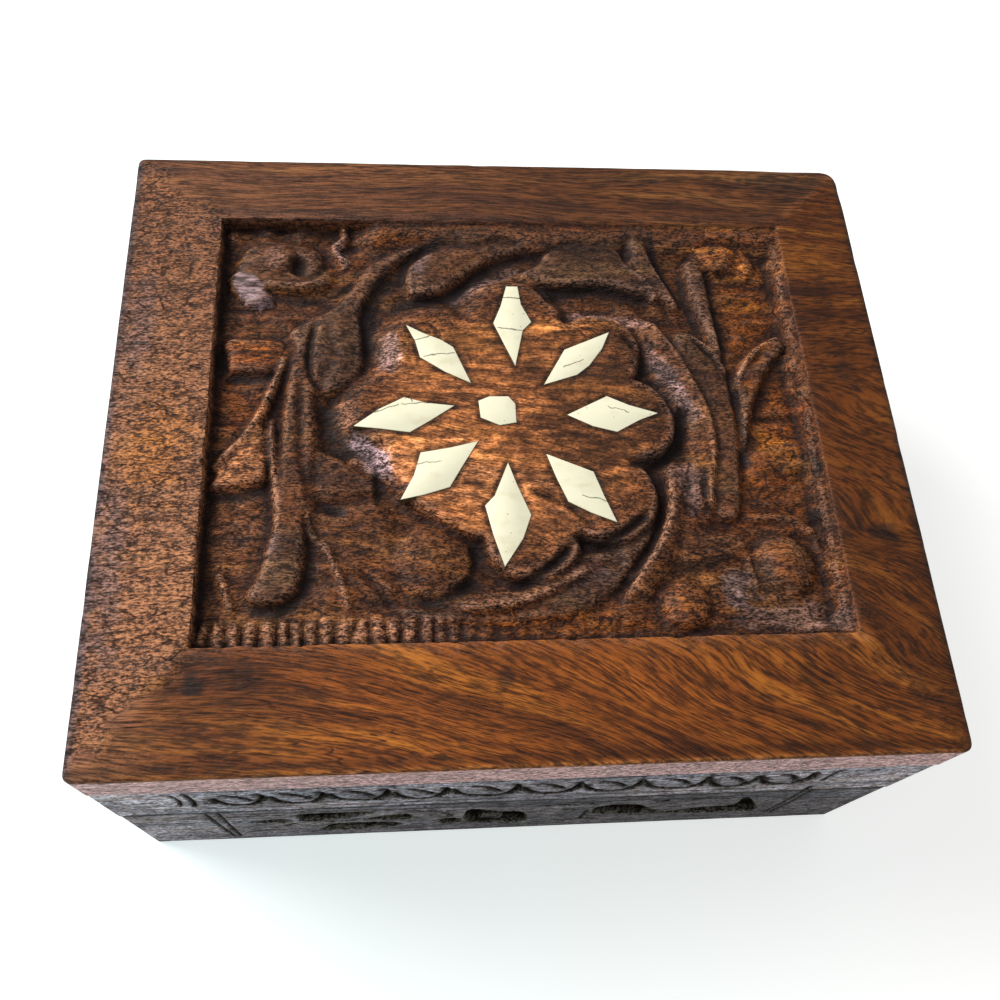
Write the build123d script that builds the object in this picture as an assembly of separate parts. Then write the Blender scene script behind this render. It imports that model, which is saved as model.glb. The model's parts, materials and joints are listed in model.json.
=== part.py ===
"""Carved wooden trinket box with a hinged lid and a flower of bone inlay.

All sizes are in millimetres. The origin is the middle of the underside, +X runs to
the right along the long side, +Y to the back, where the hinges are, and +Z up.
"""
from build123d import *
from math import radians, tan
import os

# Driving dimensions of the whole box
board_length = 105.0            # lid's top board, along X
board_depth = 89.6              # lid's top board, along Y
base_height = 24.3              # underside to the parting between base and lid
rail_height = 16.3              # lid's rails, from the parting to the top board
board_edge_height = 7.9         # top board at its outer edge
rim_rise = 0.9                  # the bevelled margin climbs this much to the recess
rail_setback = 0.1              # rails stand this far inside the board's edge
base_setback = 0.2              # base stands this far inside the board's edge
wall_thickness = 11.5           # base walls
corner_radius = 0.6             # upright outer corners
arris = 0.4                     # softened outer edges

# Floor panel, let into a rebate that is open to the underside
floor_thickness = 4.0
rebate_width = 4.0

# Carved recess of the top board
recess_left = -39.7
recess_right = 40.9
recess_front = -29.9
recess_back = 33.2
recess_depth = 2.6
rim_flat = 0.6                  # level strip between the bevelled margin and the recess
relief_below_rim = 0.4          # the medallion's top lies this far below the rim
vine_below_rim = 1.1            # and the leaves and stems around it this far

# Raised medallion: one disc and the lobes of its scalloped edge, as x, y, radius
medallion_discs = (
    (-0.3, 0.8, 17.5),
    (14.6, 0.3, 7.0),
    (12.2, 11.5, 6.0),
    (0.6, 16.5, 6.5),
    (-10.8, 13.0, 5.5),
    (-16.0, 3.0, 5.5),
    (-11.6, -16.5, 6.6),
    (1.5, -16.5, 6.0),
    (11.5, -12.0, 6.5),
)

# Bosses and buds in the recess, as x, y, radius
bosses = (
    (-30.0, 24.4, 4.6),
    (30.0, 27.0, 3.6),
    (19.4, -24.6, 3.7),
    (33.0, -20.4, 4.6),
    (-31.0, -22.0, 3.2),
)

# Stems and leaves, each between two arcs: one tip, the middle of each side, other tip
vine_leaves = {
    "wreath_top": ((-15.0, 22.6), (-2.0, 31.6), (0.0, 26.0), (20.5, 23.4)),
    "stem_left": ((-18.6, 28.4), (-33.0, 4.0), (-26.0, 2.0), (-30.4, -19.0)),
    "leaf_left": ((-38.8, 11.4), (-34.4, 14.8), (-34.4, 8.2), (-29.6, 12.0)),
    "leaf_lower_left": ((-38.6, -11.0), (-37.2, -3.4), (-32.6, -7.0), (-30.8, 2.0)),
    "stem_right": ((18.6, 21.0), (31.4, 5.0), (25.4, 4.0), (28.8, -11.0)),
    "branch_right": ((31.0, 1.0), (34.0, 9.6), (37.0, 6.4), (40.0, 15.6)),
    "wreath_bottom": ((8.6, -27.2), (22.4, -20.6), (16.6, -18.0), (22.6, -7.4)),
}

# Ground cut away between the leaves on the front of the base, as x and height of each corner.
# The sides have the same ornament, shortened.
ground_depth = 1.4
side_ornament_share = 0.8
ground_patches = (
    ((-29.2, 19.8), (-20.6, 20.0), (-19.4, 18.4), (-23.0, 15.4), (-28.6, 13.8), (-29.8, 16.8)),
    ((-36.6, 15.0), (-32.0, 16.4), (-30.8, 13.6), (-33.6, 13.4)),
    ((-20.4, 14.4), (-14.9, 16.6), (-14.3, 12.4), (-19.8, 13.2)),
    ((-25.4, 10.2), (-22.8, 11.0), (-16.4, 9.8), (-16.4, 6.0), (-26.4, 5.4)),
    ((-10.0, 10.4), (-8.4, 11.6), (-6.8, 10.4), (-7.6, 6.6), (-9.4, 7.2)),
    ((-5.6, 18.6), (-2.0, 15.8), (1.6, 14.6), (2.9, 6.2), (-2.0, 5.8), (-5.8, 8.4), (-6.4, 13.0)),
    ((13.2, 17.0), (17.8, 17.0), (21.0, 12.4), (23.6, 9.2), (19.8, 8.6), (14.0, 10.4), (12.2, 12.8)),
    ((24.2, 10.2), (28.8, 12.4), (33.2, 13.4), (33.4, 19.4), (38.0, 7.8), (32.0, 7.3), (24.0, 8.6)),
)

# Bone inlay: thickness, and each piece's corners on the medallion
inlay_thickness = 1.2
petal_corners = {
    "north": (
        (0.0, 22.1), (1.7, 22.1), (2.0, 19.0), (3.3, 16.0), (2.0, 14.6),
        (0.6, 8.7), (-0.9, 12.6), (-2.1, 15.8), (-0.9, 18.8),
    ),
    "northeast": (
        (14.1, 14.5), (12.8, 11.6), (10.8, 8.9), (9.0, 7.4), (4.2, 5.8), (7.5, 11.5),
    ),
    "east": (
        (19.6, 1.4), (16.8, 0.3), (13.6, -1.5), (10.4, -0.6),
        (7.0, 1.2), (10.4, 2.9), (12.7, 4.1), (15.6, 2.7),
    ),
    "southeast": (
        (12.4, -14.7), (9.0, -13.2), (6.2, -11.6), (5.0, -8.4),
        (3.8, -4.6), (7.0, -6.0), (9.9, -7.3), (11.0, -10.8),
    ),
    "south": (
        (-2.4, -20.5), (-3.6, -16.2), (-4.5, -12.0), (-3.2, -10.6),
        (-1.2, -5.7), (-0.2, -9.0), (1.4, -13.4), (0.2, -16.6),
    ),
    "southwest": (
        (-15.2, -11.1), (-12.0, -10.4), (-8.8, -9.4), (-7.2, -6.6),
        (-4.8, -2.6), (-8.6, -3.6), (-12.5, -4.3), (-13.4, -7.6),
    ),
    "west": (
        (-21.2, -0.4), (-17.8, -0.8), (-13.8, -1.4), (-11.0, 0.4),
        (-7.7, 2.7), (-11.4, 3.1), (-14.5, 4.0), (-17.8, 2.2),
    ),
    "northwest": (
        (-14.2, 15.6), (-11.8, 14.2), (-9.4, 13.1), (-7.7, 11.9),
        (-5.4, 6.0), (-9.0, 7.9), (-12.3, 10.2), (-12.9, 12.8),
    ),
}
centre_corners = (
    (-4.7, 3.4), (-3.2, 4.1), (-0.6, 4.1), (0.3, 2.9), (0.3, 0.0), (-2.0, -0.4), (-4.5, 0.8),
)

# Brads: shank and head
brad_radius = 0.45
brad_head_radius = 0.9
brad_head_height = 0.5
lid_brad_spacing = 36.5         # three brads along the front and three along the back
lid_brad_middle_x = -2.5
lid_brad_inset = 9.6            # from the board's front and back edges
lid_brad_cover = 0.8            # heads are punched in and filled over
lid_brad_length = 15.0
floor_brad_length = 11.0
floor_brads_long_side = 3
floor_brads_short_side = 2

# Two brass butt hinges, barrel on the parting line in the groove behind it
hinge_inset = 3.0               # axis, inboard of the base's back face
hinge_centre_x = 28.0
hinge_width = 16.0
leaf_depth = 6.5
leaf_thickness = 0.8
leaf_gap = 0.03                 # each leaf lies this far under the flush line
barrel_radius = 1.6
pin_radius = 0.7
pin_clearance = 0.05            # radial, in the lid's knuckle
knuckle_gap = 0.12
barrel_pocket_clearance = 0.15
stop_angle = 103.0              # where the two bevelled back edges meet
nail_radius = 0.45
nail_head_radius = 1.0
nail_head_height = 0.45
nail_length = 5.0
nail_offset_x = 4.8
nail_offset_y = 4.0

# Worked out from the above
board_bottom = base_height + rail_height
board_edge_top = board_bottom + board_edge_height
rim_top = board_edge_top + rim_rise
recess_floor = rim_top - recess_depth
medallion_top = rim_top - relief_below_rim
vine_top = rim_top - vine_below_rim
base_length = board_length - 2 * base_setback
base_depth = board_depth - 2 * base_setback
rail_length = board_length - 2 * rail_setback
rail_depth = board_depth - 2 * rail_setback
inner_length = base_length - 2 * wall_thickness
inner_depth = base_depth - 2 * wall_thickness
rebate_length = inner_length + 2 * rebate_width
rebate_depth = inner_depth + 2 * rebate_width
hinge_y = base_depth / 2 - hinge_inset
bevel_angle = stop_angle / 2
knuckle_width = (hinge_width - 2 * knuckle_gap) / 3
overcut = 1.0                   # cutting shapes reach this far past what they cut


def block(low, high):
    """A box between two opposite corners."""
    size = [high[i] - low[i] for i in range(3)]
    middle = [(high[i] + low[i]) / 2 for i in range(3)]
    return Pos(*middle) * Box(*size)


def centred_block(length, depth, low_z, high_z):
    """An upright box about the middle of the plan."""
    return block((-length / 2, -depth / 2, low_z), (length / 2, depth / 2, high_z))


def rounded_prism(length, depth, low_z, high_z):
    """An upright prism with the box's rounded corners."""
    outline = Plane.XY.offset(low_z) * RectangleRounded(length, depth, corner_radius)
    return extrude(outline, high_z - low_z)


def rod_z(x, y, low_z, high_z, radius):
    """A round rod that stands along Z."""
    return Pos(x, y, (low_z + high_z) / 2) * Cylinder(radius, high_z - low_z)


def rod_x(low_x, high_x, radius):
    """A round rod on the hinge axis."""
    lying = Rot(0, 90, 0) * Cylinder(radius, high_x - low_x)
    return Pos((low_x + high_x) / 2, hinge_y, base_height) * lying


def raised_leaf(tip, side, other_side, other_tip, low_z, high_z):
    """A leaf or stem between two arcs, raised between two heights."""
    edges = ThreePointArc(tip, side, other_tip) + ThreePointArc(other_tip, other_side, tip)
    return extrude(Plane.XY.offset(low_z) * make_face(edges), high_z - low_z)


def straight_outline(corners, low_z, high_z):
    """A straight-sided outline, raised between two heights."""
    face = make_face(Polyline(*corners, close=True))
    return extrude(Plane.XY.offset(low_z) * face, high_z - low_z)


def mitred_quarters(ring, length, depth, low_z, high_z):
    """Cuts a rectangular ring at its mitres into its front, back, left and right."""
    half_x = length / 2
    half_y = depth / 2
    inner_x = inner_length / 2
    inner_y = inner_depth / 2
    front = ((-half_x, -half_y), (half_x, -half_y), (inner_x, -inner_y), (-inner_x, -inner_y))
    left = ((-half_x, -half_y), (-inner_x, -inner_y), (-inner_x, inner_y), (-half_x, half_y))
    back = tuple((x, -y) for x, y in front)
    right = tuple((-x, y) for x, y in left)
    sides = {"front": front, "back": back, "left": left, "right": right}
    return {side: ring & straight_outline(plan, low_z, high_z) for side, plan in sides.items()}


def back_groove(rises):
    """The wedge that bevels a back edge, upwards for the lid, downwards for the base."""
    reach = 2 * hinge_inset
    slope = tan(radians(bevel_angle)) * (1 if rises else -1)
    corners = (
        (hinge_y, base_height),
        (hinge_y + reach, base_height),
        (hinge_y + reach, base_height + reach * slope),
    )
    profile = make_face(Polyline(*corners, close=True))
    upright = Plane(origin=(-board_length, 0, 0), x_dir=(0, 1, 0), z_dir=(1, 0, 0))
    return extrude(upright * profile, 2 * board_length)


def hinge_sides():
    """The middle of each hinge along X, by the side that it is on."""
    return {"left": -hinge_centre_x, "right": hinge_centre_x}


def knuckle_spans(middle, of_lid):
    """The stretches along X of one leaf's knuckles: one for the lid, two for the base."""
    half_lid = knuckle_width / 2
    if of_lid:
        return [(middle - half_lid, middle + half_lid)]
    outer = hinge_width / 2
    inner = half_lid + knuckle_gap
    return [(middle - outer, middle - inner), (middle + inner, middle + outer)]


def leaf_levels(of_lid):
    """The lower and upper face of one leaf's plate."""
    if of_lid:
        return base_height + leaf_gap, base_height + leaf_gap + leaf_thickness
    return base_height - leaf_gap - leaf_thickness, base_height - leaf_gap


def hinge_nails(of_lid):
    """The nails of both hinges that hold one kind of leaf."""
    low, high = leaf_levels(of_lid)
    nails = []
    for middle in hinge_sides().values():
        for offset in (-nail_offset_x, nail_offset_x):
            x, y = middle + offset, hinge_y - nail_offset_y
            if of_lid:
                head = rod_z(x, y, low, low + nail_head_height, nail_head_radius)
                shank = rod_z(x, y, low, low + nail_length, nail_radius)
            else:
                head = rod_z(x, y, high - nail_head_height, high, nail_head_radius)
                shank = rod_z(x, y, high - nail_length, high, nail_radius)
            nails.append(head + shank)
    return nails


def hinge_leaf(middle, of_lid, nails):
    """One leaf: its plate, its knuckles and the bore through them."""
    low, high = leaf_levels(of_lid)
    half = hinge_width / 2
    leaf = block((middle - half, hinge_y - leaf_depth, low), (middle + half, hinge_y, high))
    notch_reach = barrel_radius + barrel_pocket_clearance
    for start, end in knuckle_spans(middle, not of_lid):
        notch_low = (start - knuckle_gap, hinge_y - notch_reach, low - overcut)
        notch_high = (end + knuckle_gap, hinge_y + overcut, high + overcut)
        leaf -= block(notch_low, notch_high)
    bore = pin_radius + (pin_clearance if of_lid else 0)
    for start, end in knuckle_spans(middle, of_lid):
        leaf += rod_x(start, end, barrel_radius)
    leaf -= rod_x(middle - half - overcut, middle + half + overcut, bore)
    return leaf.cut(*nails)


def hinge_room(of_lid):
    """What is cut from the wood for both hinges: mortises and barrel pockets."""
    low, high = leaf_levels(of_lid)
    low, high = (low - overcut, high) if of_lid else (low, high + overcut)
    half = hinge_width / 2
    room = []
    for middle in hinge_sides().values():
        mortise_low = (middle - half, hinge_y - leaf_depth, low)
        room.append(block(mortise_low, (middle + half, hinge_y, high)))
        reach = half + barrel_pocket_clearance
        room.append(rod_x(middle - reach, middle + reach, barrel_radius + barrel_pocket_clearance))
    return room


def lid_brads():
    """Brads that hold the top board on the rails."""
    head_top = board_edge_top - lid_brad_cover
    brads = []
    for y in (-board_depth / 2 + lid_brad_inset, board_depth / 2 - lid_brad_inset):
        for step in (-1, 0, 1):
            x = lid_brad_middle_x + step * lid_brad_spacing
            head = rod_z(x, y, head_top - brad_head_height, head_top, brad_head_radius)
            shank = rod_z(x, y, head_top - lid_brad_length, head_top, brad_radius)
            brads.append(head + shank)
    return brads


def floor_brads():
    """Brads that hold the floor panel up into its rebate."""
    ledge_x = inner_length / 2 + rebate_width / 2
    ledge_y = inner_depth / 2 + rebate_width / 2
    spots = []
    for step in range(floor_brads_long_side):
        x = (step - (floor_brads_long_side - 1) / 2) * inner_length / floor_brads_long_side
        spots += [(x, -ledge_y), (x, ledge_y)]
    for step in range(floor_brads_short_side):
        y = (step - (floor_brads_short_side - 1) / 2) * inner_depth / floor_brads_short_side
        spots += [(-ledge_x, y), (ledge_x, y)]
    brads = []
    for x, y in spots:
        head = rod_z(x, y, 0, brad_head_height, brad_head_radius)
        brads.append(head + rod_z(x, y, 0, floor_brad_length, brad_radius))
    return brads


def ground_pockets():
    """What is cut from the outer faces of the base between its carved leaves."""
    side_faces = (
        (0, base_depth / 2, 1.0),
        (90, base_length / 2, side_ornament_share),
        (-90, base_length / 2, side_ornament_share),
    )
    pockets = []
    for turn, reach, share in side_faces:
        for corners in ground_patches:
            outline = make_face(Polyline(*[(x * share, z) for x, z in corners], close=True))
            face = Plane(origin=(0, -reach + ground_depth, 0), x_dir=(1, 0, 0), z_dir=(0, -1, 0))
            pockets.append(Rot(0, 0, turn) * extrude(face * outline, ground_depth + overcut))
    return pockets


def base_walls(nails, brads):
    """The four mitred walls of the base."""
    outer = rounded_prism(base_length, base_depth, 0, base_height)
    outer = chamfer(outer.faces().sort_by(Axis.Z)[0].edges(), arris)
    ring = outer - centred_block(inner_length, inner_depth, -overcut, base_height + overcut)
    ring -= centred_block(rebate_length, rebate_depth, -overcut, floor_thickness)
    ring -= back_groove(rises=False)
    ring = ring.cut(*hinge_room(of_lid=False), *nails, *brads, *ground_pockets())
    walls = mitred_quarters(ring, base_length, base_depth, 0, base_height)
    return {f"base_{side}_wall": wall for side, wall in walls.items()}


def base_floor(brads):
    """The floor panel."""
    return centred_block(rebate_length, rebate_depth, 0, floor_thickness).cut(*brads)


def lid_rails(nails, brads):
    """The four mitred rails of the lid."""
    outer = rounded_prism(rail_length, rail_depth, base_height, board_bottom)
    outer = chamfer(outer.faces().sort_by(Axis.Z)[0].edges(), arris)
    hollow = centred_block(inner_length, inner_depth, base_height - overcut, board_bottom + overcut)
    ring = outer - hollow - back_groove(rises=True)
    ring = ring.cut(*hinge_room(of_lid=True), *nails, *brads)
    rails = mitred_quarters(ring, rail_length, rail_depth, base_height, board_bottom)
    return {f"lid_{side}_rail": rail for side, rail in rails.items()}


def margin_section(length, depth, middle, height, radius):
    """One level outline of the top board's bevelled margin."""
    return Pos(middle[0], middle[1], height) * RectangleRounded(length, depth, radius)


def lid_top_board(inlays, brads):
    """The top board: bevelled margin, carved recess, medallion, leaves and bosses."""
    slab = rounded_prism(board_length, board_depth, board_bottom, board_edge_top - arris)
    rim_length = recess_right - recess_left + 2 * rim_flat
    rim_depth = recess_back - recess_front + 2 * rim_flat
    rim_middle = ((recess_left + recess_right) / 2, (recess_front + recess_back) / 2)
    inner_radius = corner_radius - arris
    sections = [
        margin_section(board_length, board_depth, (0, 0), board_edge_top - arris, corner_radius),
        margin_section(board_length - 2 * arris, board_depth - 2 * arris, (0, 0), board_edge_top, inner_radius),
        margin_section(rim_length, rim_depth, rim_middle, rim_top, inner_radius),
    ]
    board = slab + loft(sections, ruled=True)
    recess_high = (recess_right, recess_back, rim_top + overcut)
    board -= block((recess_left, recess_front, recess_floor), recess_high)
    relief = [rod_z(x, y, recess_floor, medallion_top, radius) for x, y, radius in medallion_discs]
    relief += [rod_z(x, y, recess_floor, vine_top, radius) for x, y, radius in bosses]
    relief += [raised_leaf(*points, recess_floor, vine_top) for points in vine_leaves.values()]
    board = board.fuse(*relief)
    return board.cut(*inlays, *brads)


def bone_inlays():
    """The eight petals and the centre, let into the medallion's top."""
    low = medallion_top - inlay_thickness
    outlines = {f"inlay_petal_{name}": corners for name, corners in petal_corners.items()}
    outlines["inlay_centre"] = centre_corners
    return {node: straight_outline(plan, low, medallion_top) for node, plan in outlines.items()}


def build():
    """Every node of the box by its name."""
    inlays = bone_inlays()
    board_brads = lid_brads()
    panel_brads = floor_brads()
    lid_nails = hinge_nails(of_lid=True)
    base_nails = hinge_nails(of_lid=False)
    nodes = {"lid_top_board": lid_top_board(list(inlays.values()), board_brads)}
    nodes.update(lid_rails(lid_nails, board_brads))
    nodes.update(base_walls(base_nails, panel_brads))
    nodes["base_floor"] = base_floor(panel_brads)
    nodes.update(inlays)
    for side, middle in hinge_sides().items():
        nodes[f"hinge_{side}_lid_leaf"] = hinge_leaf(middle, True, lid_nails)
        nodes[f"hinge_{side}_base_leaf"] = hinge_leaf(middle, False, base_nails)
        half = hinge_width / 2
        nodes[f"hinge_{side}_pin"] = rod_x(middle - half, middle + half, pin_radius)
    nodes["lid_brads"] = Compound(children=board_brads)
    nodes["floor_brads"] = Compound(children=panel_brads)
    nodes["lid_hinge_nails"] = Compound(children=lid_nails)
    nodes["base_hinge_nails"] = Compound(children=base_nails)
    return nodes


os.makedirs("parts", exist_ok=True)
for node, shape in build().items():
    export_step(shape, f"parts/{node}.step")
    print(node, "solids", len(shape.solids()), "volume", round(shape.volume, 1))
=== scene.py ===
"""A carved rosewood trinket box with a bone flower in its lid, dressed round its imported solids.

All modelling below is in millimetres; meshes are brought to metres as they are made.
"""

import json
import math
from collections import namedtuple

import bmesh
import bpy
import numpy as np
from bpy.props import FloatProperty, FloatVectorProperty, PointerProperty
from mathutils import Matrix, Vector


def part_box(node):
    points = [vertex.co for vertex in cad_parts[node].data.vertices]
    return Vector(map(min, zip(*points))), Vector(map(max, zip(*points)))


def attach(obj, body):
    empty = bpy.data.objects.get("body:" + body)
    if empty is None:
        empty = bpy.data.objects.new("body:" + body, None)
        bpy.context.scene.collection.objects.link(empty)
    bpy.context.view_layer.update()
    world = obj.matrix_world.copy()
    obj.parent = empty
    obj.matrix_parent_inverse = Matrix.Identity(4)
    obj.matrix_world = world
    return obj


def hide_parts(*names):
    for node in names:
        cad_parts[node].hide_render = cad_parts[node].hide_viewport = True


bl_info = {
    "name": "Carved trinket box",
    "version": (1, 0, 0),
    "blender": (4, 5, 0),
    "location": "3D View > Sidebar > Trinket Box",
    "description": "Carved boards, bone inlay, brass hinges and a plain stage for the trinket box",
    "category": "Object",
}

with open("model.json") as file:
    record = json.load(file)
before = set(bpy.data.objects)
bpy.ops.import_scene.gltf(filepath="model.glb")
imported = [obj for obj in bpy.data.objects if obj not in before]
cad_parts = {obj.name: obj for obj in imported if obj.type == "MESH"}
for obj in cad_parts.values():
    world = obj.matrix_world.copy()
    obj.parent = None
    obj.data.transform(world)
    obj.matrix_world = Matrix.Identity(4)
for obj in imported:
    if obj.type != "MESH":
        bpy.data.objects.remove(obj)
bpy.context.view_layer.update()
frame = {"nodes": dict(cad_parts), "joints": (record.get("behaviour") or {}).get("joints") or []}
MM = 0.001


def box_mm(node):
    """A CAD node's lowest and highest corner in millimetres."""
    low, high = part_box(node)
    return np.array(low) / MM, np.array(high) / MM


BOARD_LOW, BOARD_HIGH = box_mm("lid_top_board")
INLAYS = sorted(name for name in frame["nodes"] if name.startswith("inlay_"))
INLAY_TOP = box_mm("inlay_centre")[1][2]
FLOOR_TOP = box_mm("base_floor")[1][2]
HINGE_Y, HINGE_Z = (c / MM for c in frame["joints"][0]["pos_m"][1:])


# Sizes and colours that a user would change

def length_setting(name, description, size):
    """A length that a user can change; size is in millimetres."""
    return FloatProperty(
        name=name, description=description, default=size * MM, unit="LENGTH", precision=5)


def colour_setting(name, description, red, green, blue):
    """A colour that a user can change."""
    return FloatVectorProperty(
        name=name, description=description, default=(red, green, blue, 1), subtype="COLOR", size=4,
        min=0, max=1)


class CarvingSettings(bpy.types.PropertyGroup):
    """The carved top board."""

    field_left: length_setting("Field left edge", "Left edge of the sunk field, from the middle", -39.7)
    field_right: length_setting("Field right edge", "Right edge of the sunk field", 40.9)
    field_front: length_setting("Field front edge", "Front edge of the sunk field", -29.9)
    field_back: length_setting("Field back edge", "Back edge of the sunk field", 33.2)
    field_depth: length_setting("Field depth", "How far the field's ground lies below the rim", 2.6)
    medallion_rise: length_setting("Medallion rise", "Height of the round middle above the ground", 2.12)
    margin_fall: length_setting("Margin fall", "How far the margin slopes down to the board's edge", 0.9)
    grid_step: length_setting("Carving step", "Spacing of the mesh over the carved field", 0.28)
    edge_round: length_setting("Edge rounding", "Radius of the board's worn upper edge", 0.28)


class BorderSettings(bpy.types.PropertyGroup):
    """The carving on the front and sides."""

    grid_step: length_setting("Carving step", "Spacing of the mesh over the carved faces", 0.28)
    corner_radius: length_setting("Corner radius", "Rounding of the upright corners", 0.45)
    tongue_depth: length_setting("Tongue depth", "Depth of the cuts round the tongues on the lid", 0.55)
    ground_depth: length_setting("Ground depth", "Depth of the ground between the leaves of the base", 1.5)


class WoodSettings(bpy.types.PropertyGroup):
    """Colours of the rosewood."""

    light: colour_setting("Light wood", "Lightest streaks", 0.37, 0.155, 0.044)
    middle: colour_setting("Middle wood", "Main colour", 0.205, 0.070, 0.020)
    dark: colour_setting("Dark wood", "Dark streaks", 0.062, 0.020, 0.010)
    pore: colour_setting("Pores", "Open pores and fine cracks", 0.020, 0.008, 0.006)
    # Pale is also the colour of painted highlights and sheen on ridges and slopes that face the light
    pale: colour_setting("Pale fibres", "Dry and torn fibres", 0.56, 0.29, 0.185)
    # This dark colour is old wax and dust in the cuts, and painted shade there too
    dirt_and_shade: colour_setting("Grime", "Old wax and dust in the cuts", 0.014, 0.006, 0.006)
    # The pale front colour is a painted reflection of the pale table on the front faces, with dry fibres
    face_pale_and_sheen: colour_setting("Pale front", "Dry fibres of the front and sides", 0.33, 0.31, 0.225)


class TrimSettings(bpy.types.PropertyGroup):
    """Colours of the bone and the metals."""

    bone: colour_setting("Bone", "Polished bone", 0.95, 0.90, 0.66)
    bone_shade: colour_setting("Bone shade", "Yellowed bone", 0.74, 0.66, 0.42)
    bone_crack: colour_setting("Bone cracks", "Hairline cracks and glue at the edges", 0.10, 0.075, 0.03)
    brass: colour_setting("Brass", "Clean brass", 0.62, 0.44, 0.17)
    tarnish: colour_setting("Tarnish", "Brown tarnish on the brass", 0.17, 0.10, 0.04)
    steel: colour_setting("Steel", "Dark steel of the brads", 0.12, 0.11, 0.10)


class StageSettings(bpy.types.PropertyGroup):
    """Camera, light and floor."""

    camera_place: FloatVectorProperty(
        name="Camera place", description="Where the lens is", subtype="TRANSLATION", unit="LENGTH",
        default=(-0.01529, -0.06854, 0.16908))
    camera_forward: FloatVectorProperty(
        name="Camera direction", description="Where the lens points", subtype="DIRECTION",
        default=(0.09543, 0.42845, -0.89851))
    camera_right: FloatVectorProperty(
        name="Camera right", description="The picture's right-hand direction", subtype="DIRECTION",
        default=(0.99537, -0.05128, 0.08126))
    camera_angle: FloatProperty(
        name="Field of view", description="Angle across the picture", subtype="ANGLE",
        default=math.radians(50.817))
    floor: colour_setting("Floor", "Pale table top", 0.66, 0.68, 0.68)
    floor_left: colour_setting("Floor on the left", "Cooler tone of the table top", 0.62, 0.68, 0.68)
    floor_right: colour_setting("Floor on the right", "Warmer tone of the table top", 0.67, 0.665, 0.65)
    room: colour_setting("Room", "Colour of the even light", 0.93, 0.97, 1.0)
    room_strength: FloatProperty(
        name="Room light", description="Strength of the even light from all round", default=0.40)
    window_power: FloatProperty(
        name="Window light", description="Power of the soft light from the back left", unit="POWER",
        default=6.2)
    window_size: length_setting("Window size", "Width of the soft light", 450)
    window_place: FloatVectorProperty(
        name="Window place", description="Where the soft light is", subtype="TRANSLATION",
        unit="LENGTH", default=(-0.50, 0.27, 0.52))
    window_colour: colour_setting("Window colour", "Colour of the soft light", 1.0, 0.99, 0.97)


class TrinketBoxSettings(bpy.types.PropertyGroup):
    """All settings of the box."""

    carving: PointerProperty(type=CarvingSettings)
    border: PointerProperty(type=BorderSettings)
    wood: PointerProperty(type=WoodSettings)
    trim: PointerProperty(type=TrimSettings)
    stage: PointerProperty(type=StageSettings)


def settings():
    """The box's settings in this scene."""
    return bpy.context.scene.trinket_box


# Curves and noise for carving, on arrays of points in millimetres

def ramp(low, high, value):
    """0 below low, 1 above high, smooth between."""
    t = np.clip((value - low) / (high - low), 0.0, 1.0)
    return t * t * (3.0 - 2.0 * t)


def cell_value(ix, iy, seed):
    """A fixed number from -1 to 1 for each whole-numbered cell."""
    n = (ix * 374761393 + iy * 668265263 + seed * 974634777) & 0xFFFFFFFF
    n = ((n ^ (n >> 13)) * 1274126177) & 0xFFFFFFFF
    return ((n ^ (n >> 16)) & 0xFFFF) / 32767.5 - 1.0


def noise(x, y, width, height, seed):
    """Smooth noise from -1 to 1 whose lumps are about width by height."""
    gx = x / width
    gy = y / height
    ix = np.floor(gx).astype(np.int64)
    iy = np.floor(gy).astype(np.int64)
    fx = ramp(0.0, 1.0, gx - ix)
    fy = ramp(0.0, 1.0, gy - iy)
    low = cell_value(ix, iy, seed) * (1 - fx) + cell_value(ix + 1, iy, seed) * fx
    high = cell_value(ix, iy + 1, seed) * (1 - fx) + cell_value(ix + 1, iy + 1, seed) * fx
    return low * (1 - fy) + high * fy


def tapered(share, ends):
    """1 along a stroke, falling to 0 over that share of it at both ends."""
    return ramp(0, ends, share) * ramp(0, ends, 1 - share)


def smooth_path(points, steps=6):
    """A smooth curve through the points, as short runs."""
    p = np.array(points, float)
    p = np.vstack([2 * p[0] - p[1], p, 2 * p[-1] - p[-2]])
    t = np.linspace(0, 1, steps, endpoint=False)[:, None]
    runs = []
    for a, b, c, d in zip(p, p[1:], p[2:], p[3:]):
        bend = a - 2.5 * b + 2 * c - d / 2
        runs.append(b + (c - a) * t / 2 + bend * t ** 2 + (1.5 * (b - c) + (d - a) / 2) * t ** 3)
    return np.vstack(runs + [p[-2:-1]])


def follow(x, y, path):
    """Distance from a run of short lines, positive on its left, and the share of it gone by."""
    nearest = np.full(x.shape, np.inf)
    side = np.ones(x.shape)
    share = np.zeros(x.shape)
    lengths = np.hypot(*np.diff(path, axis=0).T)
    gone = 0.0
    for (ax, ay), (bx, by), length in zip(path, path[1:], lengths):
        if length == 0:
            continue
        ex = (bx - ax) / length
        ey = (by - ay) / length
        t = np.clip((x - ax) * ex + (y - ay) * ey, 0, length)
        gap = np.hypot(x - ax - t * ex, y - ay - t * ey)
        closer = gap < nearest
        turn = np.where(ex * (y - ay) - ey * (x - ax) >= 0, 1.0, -1.0)
        nearest = np.where(closer, gap, nearest)
        side = np.where(closer, turn, side)
        share = np.where(closer, (gone + t) / lengths.sum(), share)
        gone += length
    return nearest * side, share


def depth_inside(x, y, outline, rounded=True):
    """Distance inward from a closed outline, negative outside."""
    ring = np.array(outline, float)
    if rounded:
        ring = smooth_path(np.vstack([ring[-1:], ring, ring[:2]]), 4)[4:-4]
    else:
        ring = np.vstack([ring, ring[:1]])
    gap, _ = follow(x, y, ring)
    within = np.zeros(x.shape, bool)
    for (ax, ay), (bx, by) in zip(ring, np.roll(ring, -1, axis=0)):
        if ay != by:
            within ^= ((ay > y) != (by > y)) & (x < (bx - ax) * (y - ay) / (by - ay) + ax)
    return np.where(within, np.abs(gap), -np.abs(gap))


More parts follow.
